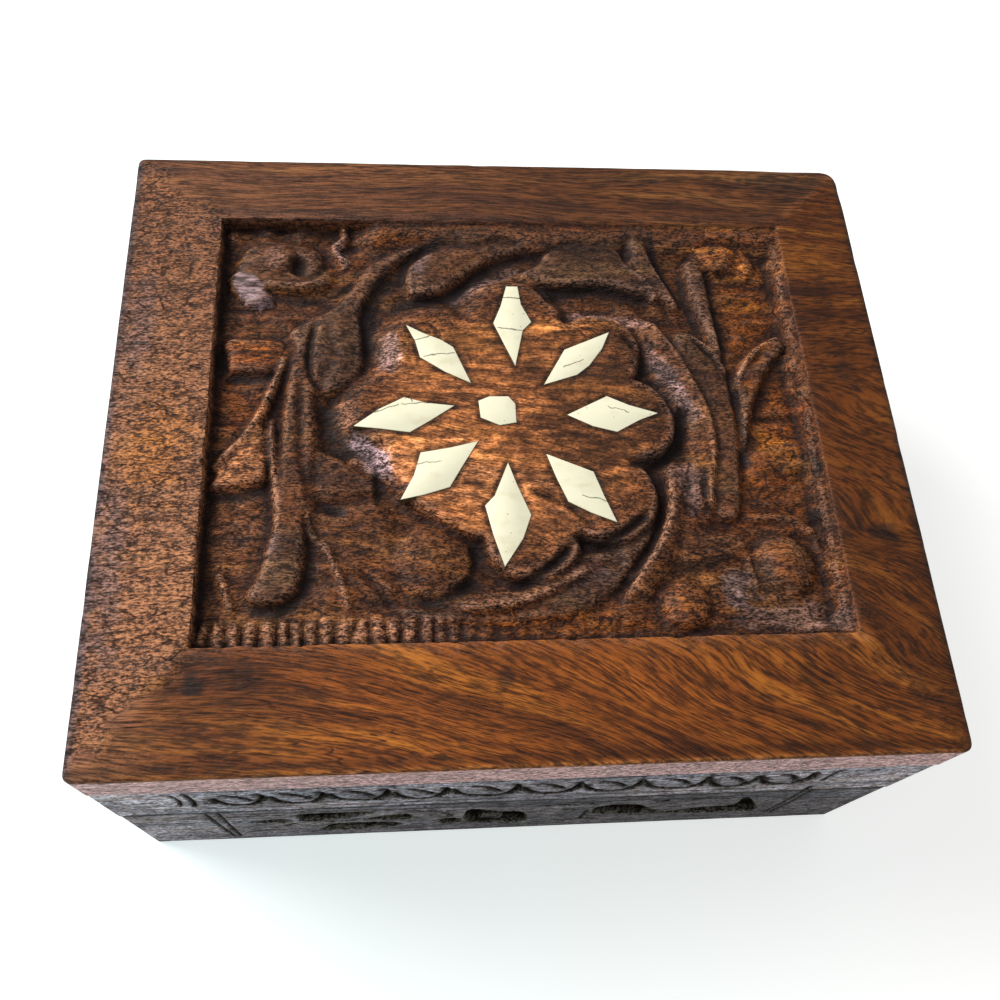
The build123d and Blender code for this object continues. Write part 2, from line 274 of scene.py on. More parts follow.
class Carving:
    """A carved face: its height above the ground, and how the wood's colour differs, at each point."""

    def __init__(self, x, y):
        self.x = x
        self.y = y
        self.z = np.zeros(x.shape)
        self.warm = np.zeros(x.shape)
        self.lift = np.zeros(x.shape)
        self.bleach = np.zeros(x.shape)
        self.fuzz = np.zeros(x.shape)
        self.leafy = np.zeros(x.shape)

    def noise(self, width, height, seed):
        """Smooth noise over the face whose lumps are about width by height."""
        return noise(self.x, self.y, width, height, seed)

    def near(self, points, reach):
        """Where a shape of that reach round its points can change the face, with x and y there."""
        p = np.array(points, float)
        at = (self.x > p[:, 0].min() - reach) & (self.x < p[:, 0].max() + reach)
        at &= (self.y > p[:, 1].min() - reach) & (self.y < p[:, 1].max() + reach)
        return at, self.x[at], self.y[at]

    def bank(self, points, height, left, right, flat=0.0, ends=0.12, pale=0.0):
        """A raised rib along a curve, falling off over left and right beyond its flat top."""
        at, x, y = self.near(points, max(left, right) + flat)
        s, share = follow(x, y, smooth_path(points))
        fall = np.clip((np.abs(s) - flat) / np.where(s > 0, left, right), 0, 1)
        taper = tapered(share, ends) if ends else 1.0
        rib = height * (1 - fall ** 1.3) * (0.35 + 0.65 * taper)
        self.z[at] = np.maximum(self.z[at], rib)
        # A pale crest: rubbed wear with a painted highlight
        self.bleach[at] += pale * ramp(flat + 0.55, flat, np.abs(s)) * taper

    def cut(self, points, depth, left, right, ends=0.15, grime_and_shade=1.5):
        """A knife cut along a curve, sloping up over left and right, darkened with grime and painted shade.
        """
        at, x, y = self.near(points, max(left, right))
        s, share = follow(x, y, smooth_path(points))
        fall = np.clip(np.abs(s) / np.where(s > 0, left, right), 0, 1)
        taper = tapered(share, ends)
        self.z[at] -= depth * (1 - fall) ** 1.3 * taper
        # Grime and painted shade darken the cut's deep part
        self.lift[at] -= grime_and_shade * min(depth, 1.3) * (1 - fall) ** 0.8 * taper

    def leaf(self, outline, height, slope=0.6, crown=0.0, lean=(0.0, 0.0), tone=1.0):
        """A raised shape with sloping edges, a crown, and a lean in x and y."""
        at, x, y = self.near(outline, 1.0)
        d = depth_inside(x, y, outline)
        middle = np.mean(np.array(outline, float), axis=0)
        top = height + lean[0] * (x - middle[0]) + lean[1] * (y - middle[1])
        top += crown * (ramp(0, 3.0, d) - 1)
        raised = np.where(d > -slope / 3, top * ramp(-slope / 3, slope, d), 0)
        self.z[at] = np.maximum(self.z[at], raised)
        self.leafy[at] = np.maximum(self.leafy[at], tone * ramp(0, 0.7, d))

    def pocket(self, outline, depth, slope=0.5):
        """A sunk shape with sloping sides."""
        at, x, y = self.near(outline, 1.0)
        d = depth_inside(x, y, outline)
        self.z[at] -= depth * ramp(-slope / 2, slope, d)

    def knob(self, centre, radii, height, turn=0.0, moat=0.0, full=0.75):
        """A rounded knob, with a moat cut round it."""
        at, x, y = self.near([centre], max(radii) * 1.6)
        d = self.oval(x, y, centre, radii, turn)
        ground = self.z[at] - moat * ramp(1.45, 1.0, d)
        dome = height * np.clip(1 - d * d, 0, 1) ** full
        self.z[at] = np.where(d < 1, np.maximum(ground, dome), ground)

    def pit(self, centre, radii, depth, turn=0.0):
        """A small hole, darkened inside with painted shade."""
        at, x, y = self.near([centre], max(radii) * 1.2)
        share = ramp(1.1, 0.4, self.oval(x, y, centre, radii, turn))
        self.z[at] -= depth * share
        self.lift[at] -= 1.4 * depth * share

    def stain(self, centre, radii, turn=0.0, **changes):
        """A ragged patch where the wood is warmer, lighter, more bleached or more fuzzy."""
        d = self.oval(self.x, self.y, centre, radii, turn)
        ragged = 0.35 * self.noise(2.2, 0.9, 71) + 0.3 * self.noise(0.8, 0.5, 72)
        share = ramp(1.15, 0.35, d + ragged)
        for name, change in changes.items():
            setattr(self, name, getattr(self, name) + change * share)

    def shade(self, points, amount, left, right, ends=0.12):
        """Painted shade and grime along a curve, fading out over left and right."""
        at, x, y = self.near(points, max(left, right))
        waver = 0.25 * noise(x, y, 1.3, 0.8, 73)
        s, share = follow(x, y, smooth_path(points))
        fall = np.clip(np.abs(s) / np.where(s > 0, left, right) + waver, 0, 1)
        taper = tapered(share, ends)
        self.lift[at] -= amount * ramp(1.0, 0.35, fall) * taper

    def patch(self, outline, **changes):
        """A facet with a clear edge where the wood is warmer, lighter, more bleached or more fuzzy."""
        at, x, y = self.near(outline, 1.0)
        ragged = 0.3 * noise(x, y, 0.9, 0.6, 74)
        share = ramp(-0.25, 0.25, depth_inside(x, y, outline, rounded=False) + ragged)
        for name, change in changes.items():
            getattr(self, name)[at] += change * share

    @staticmethod
    def oval(x, y, centre, radii, turn):
        """Distance from a turned oval's centre, 1 on the oval."""
        c = math.cos(math.radians(turn))
        s = math.sin(math.radians(turn))
        dx = x - centre[0]
        dy = y - centre[1]
        return np.hypot((dx * c + dy * s) / radii[0], (dy * c - dx * s) / radii[1])


# The carved field of the top board: heights are above its ground, places are from the box's middle

MEDALLION_LOBES = (
    (-0.3, 0.8, 17.5), (14.6, 0.3, 7.0), (12.2, 11.5, 6.0), (0.6, 16.5, 6.5), (-10.8, 13.0, 5.5),
    (-16.0, 3.0, 5.5), (1.5, -16.0, 6.0), (11.5, -10.5, 6.5))


def carve_wreath(c):
    """The outer wreath: its stems, and the big leaves along the back."""
    # The left stem and its sweep to the back
    c.bank([(-30.2, -21), (-29.0, -14), (-28.6, -5), (-28.3, 3), (-27.6, 10), (-27, 13)],
           1.75, 0.9, 2.6, 1.4, 0)
    c.leaf([(-30.2, 14.6), (-27.5, 17.2), (-24.3, 19.3), (-21.6, 23), (-19.5, 26.6), (-15, 29.4),
            (-9, 31.6), (-4, 33), (-1, 32.2), (-8, 29.8), (-12.4, 28.6), (-15, 26.6), (-17.8, 23),
            (-20, 18.5), (-20.6, 14), (-22, 10), (-24.6, 8), (-27.6, 9)], 1.7, 0.9, 0.45, (0.0, -0.012))
    c.cut([(-28.1, 8), (-28.0, 2), (-27.7, -4), (-26.8, -9), (-26.2, -12)], 0.55, 0.7, 0.9)
    c.cut([(-30.9, -12), (-31.0, -16), (-31.9, -19.3)], 0.5, 0.5, 0.9)
    # The dark hollow between the stem and the medallion
    c.cut([(-26.2, 5.5), (-25.4, 1), (-24.6, -2.4)], 0.9, 1.7, 1.1)
    c.cut([(-20.2, 9.5), (-20.4, 13), (-19.6, 18), (-17.8, 22), (-15.4, 25.4)], 1.7, 0.5, 3.0)
    # A pointed leaf that hangs inside the sweep
    c.leaf([(-26.2, 15), (-26.7, 10.5), (-26.1, 7.6), (-24.8, 5.3), (-22.6, 5.8), (-20.2, 8.0),
            (-19.8, 12), (-20.2, 17), (-21.4, 20), (-23.8, 18.4)], 1.75, 0.6, 0.5, (0.03, 0.0))
    c.cut([(-26.2, 16.5), (-26.8, 13), (-27.0, 10), (-26.4, 7.2), (-24.8, 4.9)], 1.1, 0.4, 0.9)
    c.cut([(-25.2, 4.9), (-23.6, 4.7), (-21.6, 5.6), (-19.8, 7.4), (-17.8, 7.9)], 1.2, 0.3, 1.0)
    c.cut([(-25.0, 16), (-24.2, 12.6), (-23.6, 10.2)], 0.35, 0.9, 0.35)
    # The first big leaf at the back
    c.leaf([(-13.9, 21.4), (-14.3, 24.4), (-13.0, 27.2), (-9.5, 29.6), (-4, 31.4), (2, 31.2),
            (3.6, 29.3), (1.5, 28.4), (-2, 27.0), (-5.0, 24.9), (-8, 22.4), (-10.6, 20.9),
            (-12.8, 20.6)], 1.95, 0.6, 0.6, (0, -0.06))
    c.cut([(-14.9, 22.4), (-14.8, 25.2), (-13.4, 27.8), (-10.8, 29.6), (-8.2, 30.9)], 1.1, 0.9, 0.25)
    c.cut([(-17.6, 19.4), (-13.2, 20.6), (-9.2, 21.0), (-6, 23.4), (-2.5, 26.4), (1, 27.8),
           (3.6, 28.6)], 1.8, 0.5, 3.0)
    c.cut([(-13.6, 22.4), (-10.5, 22.2)], 0.35, 0.6, 0.4)
    c.cut([(-4.5, 29.6), (0.5, 31.6)], 0.3, 0.5, 0.5)
    # The second big leaf at the back
    c.leaf([(2.0, 25.0), (4.8, 26.8), (6.0, 29.0), (11, 31.2), (16.4, 31.0), (18.2, 27.4),
            (20.2, 24), (21.6, 21.2), (18, 21.7), (14, 22.7), (8, 22.8), (4.6, 23.2)],
           1.9, 0.6, 0.4, (0, -0.05))
    c.cut([(3.6, 22.6), (5.4, 21.9), (8, 22.4), (12, 22.8), (15, 22.4), (18, 21.4), (21.2, 20.8)],
          1.7, 0.45, 2.8)
    c.cut([(8, 29.2), (12, 28.6), (14.5, 29.4)], 0.35, 0.6, 0.9)
    # The wedge that runs to the back edge, and its neighbour
    c.leaf([(17.4, 33.6), (21.0, 33.8), (21.5, 29), (22.5, 25.6), (23.9, 22.4), (24.8, 19.2),
            (22.6, 20.2), (20.4, 23.2), (18.4, 25.8), (17.8, 28)], 2.1, 0.5, 0.4)
    c.cut([(21.5, 33.4), (21.9, 30), (22.4, 27), (23.3, 24.4), (24.3, 22.2), (25.2, 19.4)],
          1.6, 0.8, 0.35)
    c.bank([(16.8, 26.6), (18.6, 25.4), (20.4, 23.2), (22.0, 20.4)], 2.0, 0.5, 1.6, 0, 0.1, 0.5)
    c.cut([(17.6, 32.0), (17.8, 29.6), (18.6, 27.4)], 1.1, 1.0, 1.2)
    c.leaf([(26.2, 27), (27.3, 28.2), (29.2, 27.2), (29.6, 22), (29.9, 17), (30.2, 12),
            (29.4, 10.6), (27.9, 14.4), (26.8, 18.5), (26.1, 22)], 1.9, 0.8, 0.4)
    c.cut([(30.1, 25.6), (30.3, 21), (30.5, 16), (30.8, 11.5)], 0.6, 0.4, 1.0)
    c.bank([(25.2, 15.4), (27.0, 13.8), (28.8, 11.8), (30.2, 8.4)], 1.9, 0.4, 0.9, 0, 0.1, 0.5)
    c.cut([(25.7, 25), (25.8, 20.5), (26.8, 17), (27.6, 14.6)], 0.5, 0.9, 0.3)
    # The broad stem on the right, with a ridge on its inner side
    c.leaf([(23.4, 15.2), (26, 15.4), (28.0, 12.6), (30.0, 9.8), (30.5, 5), (30.8, 0), (30.2, -6),
            (29.6, -11), (28.2, -14), (25.7, -13.4), (25.6, -9), (26.9, -4), (27.0, 0), (26.2, 4.5),
            (24.8, 8.5), (23.4, 12)], 1.4, 0.8, 0.3)
    c.bank([(19.6, 17.4), (21.9, 14), (23.6, 10.8), (24.9, 7.4), (26.2, 3.5), (26.8, -0.5),
            (26.6, -4.6), (25.6, -8.8), (25.0, -13)], 1.9, 0.7, 4.6, 0.1, 0.05, 0.3)
    c.cut([(25.2, 15.6), (27.0, 12.8), (28.8, 10.6), (30.1, 9.4)], 0.7, 0.9, 0.3)
    c.cut([(31.0, 7.5), (30.9, 4), (31.4, -0.5), (30.9, -4), (30.4, -6.5)], 1.0, 0.9, 0.3)
    c.cut([(24.7, -8.0), (24.6, -10), (24.9, -12.6)], 0.9, 0.3, 0.7)


def carve_sides(c):
    """Branches, stubs and leaves between the wreath and the margins."""
    # The branch on the right that forks from the stem
    c.leaf([(38.6, 14.8), (39.6, 12.4), (37.2, 10.2), (34.9, 6.4), (33.2, 2.6), (31.9, -1.4),
            (31.0, -4.8), (30.9, 0.5), (31.1, 4.6), (31.4, 7.4), (32.6, 9.3), (34.6, 10.4),
            (36.4, 13.2)], 1.5, 0.6, 0.3)
    c.cut([(38.8, 11.4), (36.8, 8.8), (35.0, 5.4), (33.5, 2), (32.2, -2), (31.2, -5.4)],
          0.8, 1.5, 0.5)
    c.bank([(31.0, 5.6), (32.0, 8.6), (34.8, 12.2), (38.8, 14.8)], 1.8, 0.4, 1.2, 0, 0.1, 0.45)
    c.cut([(34.6, 4.2), (35.6, 2.6), (37.4, 1.9)], 0.35, 0.5, 0.3)
    c.leaf([(31.2, -3.8), (34, -2.8), (39.4, -2.0), (40.2, -5.8), (37.4, -7), (34.6, -8.5),
            (32.2, -8.3), (30.8, -6.3)], 0.8, 0.8, 0.3, (0.0, 0.05))
    c.cut([(31.4, -8.6), (34.4, -9.2), (37.4, -7.8), (40.6, -6.3)], 0.7, 0.3, 1.0)
    c.pit((40.3, -6.6), (0.8, 1.4), 1.1)
    c.pit((39.1, -13.3), (0.9, 1.1), 0.9)
    # The branch, stub and leaves on the left
    c.bank([(-30.0, 12.2), (-31.0, 8.5), (-32.2, 5), (-33.6, 1.5), (-35.6, -2), (-38.6, -5.2)],
           1.5, 0.7, 0.7, 0.2, 0.12, 0.4)
    c.cut([(-30.4, 9.5), (-31.2, 6.4), (-32.2, 2.4), (-32.0, 0.4)], 0.4, 1.4, 0.3)
    c.cut([(-33.8, 0.2), (-35.6, -2.9), (-37.4, -5.0)], 0.5, 0.4, 0.5)
    c.leaf([(-38.6, 13.4), (-37, 14.4), (-31.2, 13.8), (-30.2, 12.0), (-31.0, 9.6), (-33, 8.4),
            (-37.4, 8.8), (-38.2, 10.6)], 1.35, 0.6, 0.3, (-0.02, 0.0), 0)
    c.cut([(-38, 8.4), (-35.5, 8.1), (-33, 7.9), (-31.3, 9.0)], 1.1, 0.3, 0.9)
    c.pit((-38.8, 10.4), (1.1, 2.0), 1.4)
    c.leaf([(-33.6, 1.2), (-32.2, -0.6), (-32.0, -4), (-32.2, -7.6), (-35.4, -8.6), (-39.4, -9.0),
            (-38.4, -6.4), (-36.2, -3.2)], 1.5, 0.6, 0.3, (0.05, -0.03), 0)
    c.cut([(-39.6, -9.4), (-36, -9.4), (-33.2, -8.9), (-31.7, -7.6)], 1.2, 0.3, 1.1)
    c.cut([(-31.9, -7.4), (-31.8, -4), (-32.0, -0.4)], 0.9, 0.3, 0.3)
    c.bank([(-31.9, 1.5), (-31.4, -4), (-31.0, -8), (-30.6, -12), (-30.7, -16), (-31.3, -19)],
           1.75, 0.6, 0.5, 0.1, 0.12, 0.55)
    c.bank([(-39.6, 0.4), (-36.4, 0.3)], 0.5, 0.3, 0.9)
    # The volute in the back left corner
    c.leaf([(-38.0, 24.6), (-37.5, 27.4), (-36.1, 29.6), (-34.4, 30.7), (-31, 30.8), (-28, 30.2),
            (-25.8, 28.6), (-24.8, 26.2), (-24.2, 23.8), (-26.4, 22.0), (-30, 21.8), (-33, 21.6),
            (-35.4, 20.2), (-37.4, 21.4)], 1.35, 0.9, 0.4)
    c.knob((-32.2, 27.0), (4.6, 3.6), 2.1)
    c.bank([(-34.2, 23.4), (-31, 22.7), (-27.6, 22.7), (-24.8, 23.6)], 1.7, 1.1, 0.7, 0.2)
    c.pit((-28.9, 26.2), (1.5, 1.9), 1.3, 15)
    c.cut([(-30.6, 25.6), (-28.4, 24.3), (-26.2, 24.6), (-25.3, 26.4), (-25.6, 28.2)], 0.9, 0.9, 0.4)
    c.leaf([(-38.3, 24.8), (-36.5, 25.2), (-34.5, 23), (-32.4, 20.9), (-33.4, 20.0), (-35.5, 19.2),
            (-37, 20.5), (-38.4, 22.5)], 1.2, 0.5, 0.0, (0.16, 0.10))
    c.cut([(-34, 20.2), (-31, 20.8), (-27.4, 20.8), (-24.6, 21.9), (-22.2, 23.4), (-20.6, 25.4)],
          1.3, 0.4, 1.0)
    c.bank([(-22.9, 33.6), (-22.5, 31), (-24.0, 29.4), (-22.8, 27.4), (-21.6, 26.9)],
           1.6, 0.4, 0.9, 0.1)
    c.cut([(-22.2, 27.2), (-20.4, 26.6), (-18.6, 27.6), (-16.4, 28.8)], 0.5, 0.3, 0.4)
    # The bulb at the foot of the left stem
    c.leaf([(-31.2, -15), (-32.4, -19.6), (-33.9, -23.2), (-31.4, -24.5), (-28.4, -23.4),
            (-27.2, -20.4), (-27.2, -15)], 1.9, 0.7, 0.3, (0.02, 0.03))
    c.cut([(-34.6, -23.4), (-32.4, -25.0), (-29.6, -24.8), (-27.2, -22.6), (-26.5, -19.4),
           (-26.7, -15.5), (-27.4, -11.5)], 1.4, 0.5, 1.6)
    c.bank([(-37.3, -19.6), (-36.5, -22.0), (-35.5, -24.8)], 0.9, 0.5, 0.8, 0, 0.12, 0.4)


def carve_front(c):
    """The leaves and buds along the front, between the medallion and the margin."""
    # The low ground left of the ball, with its veins
    c.leaf([(-26, -3.6), (-22.8, -7.6), (-18.4, -8.6), (-16.0, -12), (-14.5, -17), (-15.6, -24.6),
            (-21, -25.6), (-26.4, -25), (-26.6, -12), (-26.8, -6)], 0.75, 2.4, 0.2, (0.02, 0.02), 0.2)
    c.leaf([(-26.4, -3.2), (-23.6, -3.8), (-20.8, -5.4), (-18.4, -7.0), (-18.3, -9.4),
            (-21.5, -10.0), (-25.2, -10.2), (-26.2, -8)], 1.35, 0.8, 0.3, (-0.03, 0.02), 0.5)
    c.cut([(-25.8, -10.7), (-22, -10.6), (-18.4, -10.1)], 0.5, 0.3, 1.1)
    c.bank([(-27.0, -11.4), (-26.6, -14), (-25.6, -16.2)], 1.5, 0.5, 0.5, 0, 0.12, 0.5)
    c.bank([(-25.4, -15.4), (-23.6, -18.5), (-22.3, -22), (-21.5, -25.2)], 1.5, 0.6, 0.7, 0, 0.12, 0.5)
    c.pit((-23.6, -11.9), (1.4, 0.8), 1.2, -12)
    c.cut([(-26.4, -11.0), (-25, -11.4), (-23.4, -12.0)], 0.6, 0.3, 0.4)
    c.cut([(-20.4, -19.6), (-18.4, -21.8), (-16.6, -23.8), (-15.9, -25.4)], 0.8, 0.4, 0.9)
    c.cut([(-22.0, -15.2), (-19.6, -15.7), (-17.2, -15.9)], 0.4, 0.6, 0.4)
    c.bank([(-21.6, -4.6), (-19.6, -5.8), (-18.2, -7.2)], 1.6, 0.9, 0.4, 0, 0.12, 0.3)
    c.cut([(-18.5, -6.6), (-18.0, -8.2), (-18.0, -10.2)], 1.0, 0.9, 0.4)
    c.knob((-11.3, -18.7), (5.2, 5.3), 1.85, 0, 0.0, 0.6)
    c.cut([(-6.7, -15.0), (-5.6, -17.8), (-6.1, -21.0), (-8.4, -23.6), (-11.8, -24.4),
           (-15.0, -23.0)], 1.2, 1.5, 0.6)
    # The long leaf under the medallion
    c.leaf([(-15.6, -24.8), (-9, -25.2), (-4, -26.0), (0, -25.2), (4, -23.2), (8, -21.0),
            (11, -19.8), (13.8, -20.8), (12.9, -22.6), (10.4, -24.4), (7, -26.2), (1, -27.2),
            (-7, -27.0), (-13, -26.6)], 0.95, 0.8, 0.3)
    c.bank([(-9, -25.0), (-4.6, -25.2), (0, -24.4), (3.8, -22.8), (7, -21.2), (9.4, -20.2)],
           1.6, 2.6, 1.0, 0, 0.12, 0.45)
    c.cut([(1.6, -22.2), (2.6, -23.2), (4.0, -22.5)], 0.4, 0.3, 0.3)
    c.leaf([(5.6, -19.0), (8.6, -17.6), (12, -16.9), (15.4, -15.2), (17.5, -12.7), (18.8, -9.4),
            (19.6, -6.4), (18.8, -12.7), (17.7, -16.3), (15.2, -19.2), (13.4, -20.6), (11, -19.3),
            (8, -19.8)], 1.3, 1.2, 0.4)
    c.cut([(11.0, -17.4), (12.4, -18.4), (13.4, -19.8)], 0.45, 0.3, 0.7)
    c.bank([(12.6, -24.2), (14.0, -22.2), (15.6, -20.0), (17.5, -17.3), (19.1, -14.2),
            (19.9, -10.4), (20.2, -6)], 1.75, 0.5, 3.6, 0, 0.12, 0.55)
    c.cut([(8.6, -25.6), (11.2, -24.2), (13.0, -22.2), (15.0, -19.6), (16.8, -17.0),
           (18.2, -14.0), (19.1, -10.4), (19.5, -6.6)], 1.0, 0.8, 0.4)
    c.pit((13.2, -22.3), (0.8, 1.0), 0.9, 30)
    # The ground right of it, the two buds and the little holes
    c.leaf([(21, -6), (24.4, -7.6), (24.6, -13.6), (29.2, -14.8), (29.6, -18), (25.2, -19.6),
            (19.6, -19.4), (20.2, -12)], 0.8, 1.8, 0.2, (0, 0), 0.3)
    c.cut([(18.0, -19.6), (21.4, -20.2), (25.4, -20.0)], 0.5, 0.3, 0.9)
    c.cut([(23.8, -14.6), (25.2, -15.8)], 0.5, 0.3, 0.4)
    c.knob((20.3, -25.3), (3.4, 3.4), 1.9, 0, 0.35)
    c.bank([(30.0, -13.4), (33.4, -13.2), (36.6, -14.2), (38.6, -16.6), (39.0, -20)], 0.7, 0.9, 1.0)
    c.leaf([(30.6, -14.8), (33, -15.8), (35.8, -16.8), (37.4, -19.6), (36.8, -22.8), (34, -24.7),
            (31.2, -24.2), (29.8, -21.4), (29.8, -18)], 0.6, 0.8, 0.2)
    c.knob((33.9, -20.0), (3.9, 4.5), 2.1, 15, 0.45)
    c.cut([(31.4, -15.2), (33.6, -15.9), (36.2, -17.2), (37.6, -19.8)], 0.4, 0.5, 0.5)
    c.bank([(29.2, -18.6), (29.4, -21), (30.0, -23.2)], 1.1, 0.3, 0.4)
    c.pit((29.4, -23.6), (0.8, 1.0), 0.7, 20)
    c.knob((31.4, 28.4), (4.3, 3.3), 2.0, 0, 0.2)
    c.knob((35.4, 27.6), (1.9, 2.8), 1.1, 10, 0.2)
    c.pit((32.2, 25.5), (1.1, 0.8), 0.9)
    c.cut([(34.0, 24.9), (35.6, 24.6), (37.0, 25.8)], 0.6, 0.4, 0.5)


def carve_medallion(c, top):
    """The raised round middle with its scalloped edge, steep towards the front right."""
    gap = np.full(c.x.shape, -99.0)
    for middle_x, middle_y, radius in MEDALLION_LOBES:
        gap = np.maximum(gap, radius - np.hypot(c.x - middle_x, c.y - middle_y))
    away = np.hypot(c.x, c.y) + 1e-6
    facing = (-0.8 * c.x + 0.6 * c.y) / away
    skirt = 0.7 + 2.6 * ramp(-0.1, 0.8, facing)
    share = ramp(-1.0, 0.45, gap / skirt + 0.14 * c.noise(2.2, 1.4, 5))
    covered = ramp(0.35, 0.95, share)
    c.z = np.maximum(c.z, top * share)
    c.lift *= 1 - covered
    c.leafy *= 1 - covered
    c.bleach *= 1 - covered
    # The cuts that set its lobes off, from the right round the front
    c.cut([(23.3, 4.5), (22.9, 1.2), (21.9, -2.2), (19.4, -4.8), (16.4, -5.8), (14.0, -5.4)],
          1.2, 1.4, 0.8)
    c.cut([(17.0, -12.4), (14.6, -14.6), (12.0, -16.2), (9.0, -16.9), (6.2, -15.6)], 1.2, 1.6, 0.6)
    c.cut([(6.4, -17.0), (4.8, -18.8), (2.4, -20.8), (-0.4, -22.0), (-2.4, -22.2)], 1.2, 1.5, 0.6)
    c.cut([(15.8, 14.6), (17.4, 12.2), (18.0, 9.6), (17.8, 7.6)], 0.8, 1.4, 1.4)
    c.cut([(4.2, 22.6), (5.2, 21.4), (6.2, 19.6)], 1.0, 0.8, 0.8)
    c.cut([(0.6, -9.8), (3.5, -11.0), (6.4, -12.4), (8.4, -14.4), (10.4, -16.2)],
          0.6, 1.3, 0.5, 0.2, 2.0)
    c.cut([(-11.5, -6.6), (-8.5, -7.8), (-5.5, -9.0), (-2.0, -9.4)], 0.2, 0.7, 0.7, 0.2, 5.0)


def mark_with_tools(c):
    """Gouge marks on the ground, ridges along the grain and the roughness of torn wood."""
    wobble = 0.5 * c.noise(3.0, 5.0, 11)
    flute = np.abs(np.sin(np.pi * (c.x + wobble) / 1.9))
    strong = 0.2 + 0.8 * ramp(-5, -14, c.x)
    front = ramp(-25.6, -26.8, c.y) * ramp(24, 12, c.x)
    c.z += front * strong * (0.75 * flute ** 0.7 - 0.2)
    # Painted shade in the hollows of the flutes, and paler crests
    c.lift -= front * strong * 0.9 * ramp(0.5, 0.1, flute)
    c.bleach += front * strong * 0.35 * ramp(0.6, 0.95, flute)
    # Towards the back right the ground rises until it almost meets the margin
    back = ramp(27.5, 32.4, c.y + 0.8 * c.noise(4.0, 3.0, 21)) * ramp(-22.5, -17.0, c.x)
    c.z = np.maximum(c.z, 2.25 * back)
    left_back = ramp(29.6, 31.2, c.y) * ramp(-17.0, -22.5, c.x)
    ragged = c.noise(1.6, 2.6, 12)
    c.z += left_back * (0.5 * ragged + 0.35)
    right = ramp(38.6, 40.4, c.x + 0.4 * c.noise(1.0, 1.6, 22))
    c.z = np.maximum(c.z, 1.9 * right)
    low = ramp(1.3, 0.4, c.z)
    c.z += low * (0.18 * c.noise(3.4, 1.5, 14) + 0.10 * c.noise(1.5, 0.7, 15))
    c.z += low * ramp(28, 31, c.x) * 0.16 * c.noise(9.0, 0.8, 16)
    flat = ramp(1.9, 2.08, c.z)
    torn = 0.06 * c.noise(1.1, 0.9, 17) + 0.04 * c.noise(2.6, 0.6, 18)
    c.z += (1 - flat) * torn
    c.z += flat * 0.025 * c.noise(5.0, 0.6, 19)


def softened(values, row, column):
    """Values on the board's grid, each the mean of itself and its neighbours."""
    grid = np.zeros((row.max() + 1, column.max() + 1))
    grid[row, column] = values
    return blurred(grid, 1)[row, column]


